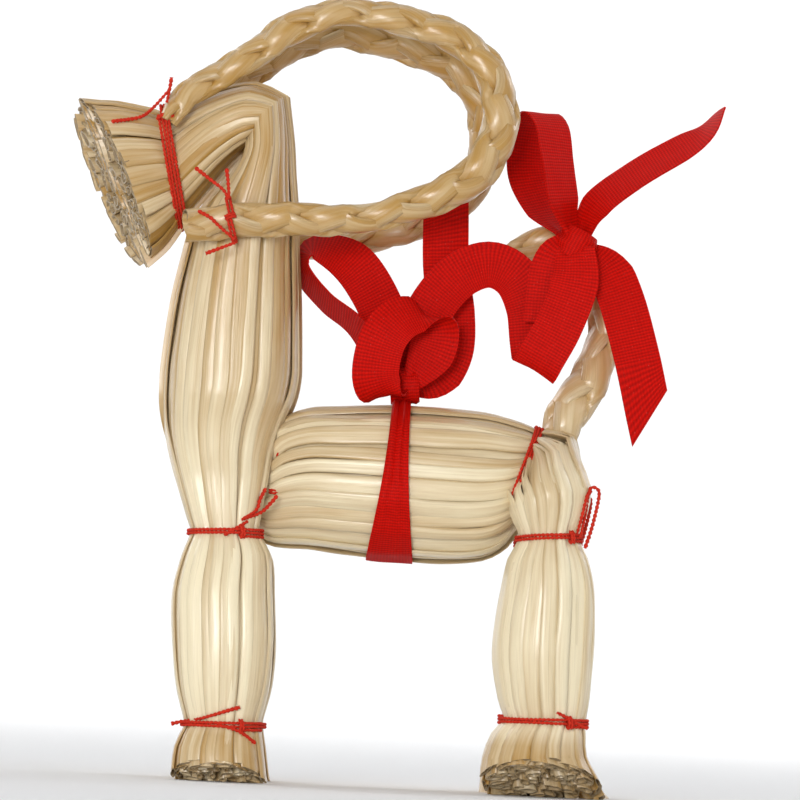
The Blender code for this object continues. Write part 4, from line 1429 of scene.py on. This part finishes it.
class DressHindLegs(bpy.types.Operator):
    """Lays the straws that fold over at the rump and run down into each hind leg"""

    bl_idname = "straw_goat.hind_legs"
    bl_label = "Hind legs"

    def execute(self, context):
        settings = context.scene.straw_goat_straw
        sections = sections_of([RUMP, HIND_LEG])
        for side, word in SIDES.items():
            skin = Skin(f"hind_straw_{word}")
            foot = foot_cut("hind", side, sections[-1])
            lay_core(skin, sections, side, 1.4 * MM, leave=(0, 3))
            lay_bundle(
                skin, sections, side, settings.width, settings.height, 21 + side, None, foot,
                over=TREES["body"],
            )
            sole = [sections[-6], sections[-3], sections[-1]]
            lay_stubs(skin, sole, side, foot, "hind foot", 51 + side)
            above_ground(skin)
            TREES[f"hind {word}"] = skin.tree()
            dress(skin.piece(*straw_finishes(settings)), "straw", "body_bundle")
        return {"FINISHED"}


class DressHorns(bpy.types.Operator):
    """Plaits the two horns"""

    bl_idname = "straw_goat.horns"
    bl_label = "Horns"

    def execute(self, context):
        settings = context.scene.straw_goat_straw
        for side, word in SIDES.items():
            skin = Skin(f"plaited_horn_{word}")
            halves = [half * MM for _, half, _ in HORN]
            lay_plait(
                skin, horn_middles(side), halves, side * HORN_ROLL, settings.plait_pitch, 61 + side
            )
            TREES[f"horn {word}"] = skin.tree()
            dress(skin.piece(*straw_finishes(settings)), "plaited_straw", f"horn_{word}")
        return {"FINISHED"}


class DressTail(bpy.types.Operator):
    """Plaits the tail"""

    bl_idname = "straw_goat.tail"
    bl_label = "Tail"

    def execute(self, context):
        settings = context.scene.straw_goat_straw
        skin = Skin("plaited_tail")
        middles = [at(plan, share * TAIL_SET_BACK) for plan, _, share in TAIL]
        halves = [half * MM for _, half, _ in TAIL]
        lay_plait(skin, middles, halves, TAIL_ROLL, settings.plait_pitch, 71)
        dress(skin.piece(*straw_finishes(settings)), "plaited_straw", "tail_braid")
        return {"FINISHED"}


class DressRibbon(bpy.types.Operator):
    """Ties the ribbon round the belly, with a bow on the back and one at the tail"""

    bl_idname = "straw_goat.ribbon"
    bl_label = "Ribbon and bows"

    def execute(self, context):
        settings = context.scene.straw_goat_ribbon
        skin = Skin("red_ribbon")
        loops = [
            Loop(surfaces("body"), BELLY_EDGES, 0.0, BELLY_REACH, (slide * MM,))
            for slide in BELLY_SLIDES
        ]
        off = settings.thickness * 1.2
        line, shares = [], []
        for angle in around(96, 97):
            line.append(sum((loop.point(angle, 0.0, off) for loop in loops), Vector()) / len(loops))
            lowness = (1 - math.cos(angle)) / 2
            shares.append(TOP_SHARE + (1 - TOP_SHARE) * lowness**2.0)
        lay_strip(
            skin, line, [loops[0].axis] * len(line), shares, settings.width, settings.thickness, 3,
            cupped=-0.12 * MM,
        )
        for number, (stations, at_start, at_end, slant) in enumerate(RIBBON_RUNS):
            lay_run(skin, stations, at_start, at_end, slant, settings, number + 5)
        for seed, (plan, across, axis, radii) in zip((2, 4), KNOTS):
            lay_wrap(skin, at(plan, across), Vector(axis), radii, settings, seed)
        dress(skin.piece(finish_of(make_ribbon, settings)), "ribbon", "ribbon")
        return {"FINISHED"}


class DressTies(bpy.types.Operator):
    """Winds the thread of each tie round its straw, with its knot and loose ends"""

    bl_idname = "straw_goat.ties"
    bl_label = "Thread ties"

    def execute(self, context):
        fronts = surfaces("front near", "front far")
        horns = surfaces("horn near", "horn far", margin=3.5 * MM)
        body = surfaces("body")
        self.wind("muzzle_tie", fronts + horns, MUZZLE_TIE)
        self.wind("chest_tie", body, CHEST_TIE)
        self.wind("rump_tie", body, RUMP_TIE)
        for side, word in SIDES.items():
            middle = horn_middles(side)[-2].y / MM
            self.wind(f"horn_tie_{word}", surfaces(f"horn {word}"), HORN_TIE, middle, side)
            for joint, (out, tie) in LEG_TIES.items():
                leg = surfaces(f"{joint.split('_')[0]} {word}")
                self.wind(f"{joint}_tie_{word}", leg, tie, side * out, side)
        return {"FINISHED"}

    def wind(self, node, trees, tie, middle=0.0, side=None):
        """One tie; side is that of a tie which both sides have."""
        settings = bpy.context.scene.straw_goat_thread
        knot = 360 - tie.knot if side == FAR else tie.knot
        seed = tie.seed + (side or 0)
        skin = Skin(f"thread_of_{node}")
        loop = Loop(trees, tie.edges, middle, tie.reach, TIE_SLIDES)
        start = lay_turns(
            skin, loop, tie.turns, math.radians(knot), tie.sink * MM, settings, seed
        )
        if tie.ends:
            lay_loose_ends(
                skin, LOOSE_ENDS[tie.ends], trees, side or NEAR, start, settings, seed + 50
            )
        dress(skin.piece(finish_of(make_thread, settings)), "thread", node)


CAMERA_AIM = (1.73, 58.05)
CAMERA_HEIGHT = 12 * MM
CAMERA_ROLL = math.radians(2.85)  # the goat leans in the picture


class BuildStage(bpy.types.Operator):
    """Sets the goat on a pale floor, in soft light, in front of the camera"""

    bl_idname = "straw_goat.stage"
    bl_label = "Stage"

    def execute(self, context):
        settings = context.scene.straw_goat_stage
        self.build_floor(settings)
        self.hang_lamps(settings)
        self.place_camera(context, settings)
        return {"FINISHED"}

    def build_floor(self, settings):
        """A round floor that curves up into a wall all round."""
        flat, bend, wall, count = 1.6, 0.8, 2.6, 96
        profile = [(0.0, 0.0)]
        profile += [
            (flat + bend * math.sin(angle), bend * (1 - math.cos(angle)))
            for angle in around(48, 13)
        ]
        profile.append((flat + bend, bend + wall))
        points = [
            (radius * math.cos(angle), radius * math.sin(angle), height)
            for radius, height in profile
            for angle in around(count)
        ]
        faces = [
            (i * count + k, i * count + j, (i + 1) * count + j, (i + 1) * count + k)
            for i in range(len(profile) - 1)
            for k, j in ((k, (k + 1) % count) for k in range(count))
        ]
        mesh = bpy.data.meshes.new("floor")
        mesh.from_pydata(points, [], faces)
        mesh.shade_smooth()
        floor = bpy.data.objects.new("floor", mesh)
        bpy.context.scene.collection.objects.link(floor)
        mesh.materials.append(
            Finish("floor").made(Base_Color=colour(settings.floor), Roughness=0.9)
        )

    def hang_lamps(self, settings):
        """A key lamp beside the camera, a fill, one overhead, and two that light the wall."""
        goat, wall = Vector((0.0, 0.0, 0.06)), Vector((0.0, 2.3, 0.3))
        lamps = [
            ("key lamp", (-0.16, -0.80, 0.12), goat, 0.20, 2.95),
            ("fill lamp", (0.80, -0.60, 0.60), goat, 0.50, 0.8),
            ("top lamp", (-0.20, 0.10, 1.0), goat, 0.60, 1.3),
            ("wall lamp left", (-1.3, 0.9, 0.9), wall, 0.60, 15.0),
            ("wall lamp right", (1.3, 0.9, 0.9), wall, 0.60, 15.0),
        ]
        for name, place, target, size, power in lamps:
            light = bpy.data.lights.new(name, "AREA")
            light.shape = "SQUARE"
            light.size = size
            light.energy = power * settings.light
            lamp = bpy.data.objects.new(name, light)
            lamp.location = place
            lamp.rotation_euler = (target - Vector(place)).to_track_quat("-Z", "Y").to_euler()
            bpy.context.scene.collection.objects.link(lamp)
        world = bpy.data.worlds.new("pale room")
        world.use_nodes = True
        background = world.node_tree.nodes["Background"]
        background.inputs["Color"].default_value = (0.95, 0.97, 1.0, 1.0)
        background.inputs["Strength"].default_value = 0.5
        bpy.context.scene.world = world

    def place_camera(self, context, settings):
        """Low in front of the goat's near side, rolled as the picture is."""
        aim = at(CAMERA_AIM)
        place = Vector((aim.x, -settings.distance, CAMERA_HEIGHT))
        roll = CAMERA_ROLL
        forward = (aim - place).normalized()
        level = Vector((1.0, 0.0, 0.0))
        upright = level.cross(forward)
        right = level * math.cos(roll) + upright * math.sin(roll)
        up = right.cross(forward)
        data = bpy.data.cameras.new("camera")
        data.sensor_fit = "HORIZONTAL"
        data.angle = 2 * math.atan(settings.frame_width / 2 / (aim - place).length)
        data.clip_start = 0.01
        camera = bpy.data.objects.new("camera", data)
        turn = Matrix((right, up, -forward)).transposed().to_4x4()
        camera.matrix_world = Matrix.Translation(place) @ turn
        context.scene.collection.objects.link(camera)
        context.scene.camera = camera
        context.scene.view_settings.view_transform = "Standard"


OPERATORS = (
    DressFrontBundles,
    DressBody,
    DressHindLegs,
    DressHorns,
    DressTail,
    DressRibbon,
    DressTies,
    BuildStage,
)
SETTINGS = {
    "straw_goat_straw": StrawSettings,
    "straw_goat_ribbon": RibbonSettings,
    "straw_goat_thread": ThreadSettings,
    "straw_goat_stage": StageSettings,
}


class StrawGoatPanel(bpy.types.Panel):
    """The goat's pieces and their sizes"""

    bl_idname = "VIEW3D_PT_straw_goat"
    bl_label = "Straw Goat"
    bl_space_type = "VIEW_3D"
    bl_region_type = "UI"
    bl_category = "Straw Goat"

    def draw(self, context):
        for name, group in SETTINGS.items():
            box = self.layout.box()
            for key in group.__annotations__:
                box.prop(getattr(context.scene, name), key)
        for operator in OPERATORS:
            self.layout.operator(operator.bl_idname)


CLASSES = (*SETTINGS.values(), *OPERATORS, StrawGoatPanel)


def register():
    for each in CLASSES:
        bpy.utils.register_class(each)
    for name, group in SETTINGS.items():
        setattr(bpy.types.Scene, name, bpy.props.PointerProperty(type=group))


def unregister():
    for name in SETTINGS:
        delattr(bpy.types.Scene, name)
    for each in reversed(CLASSES):
        bpy.utils.unregister_class(each)


def main():
    register()
    for operator in OPERATORS:
        group, name = operator.bl_idname.split(".")
        getattr(getattr(bpy.ops, group), name)()


if __name__ == "__main__":
    main()
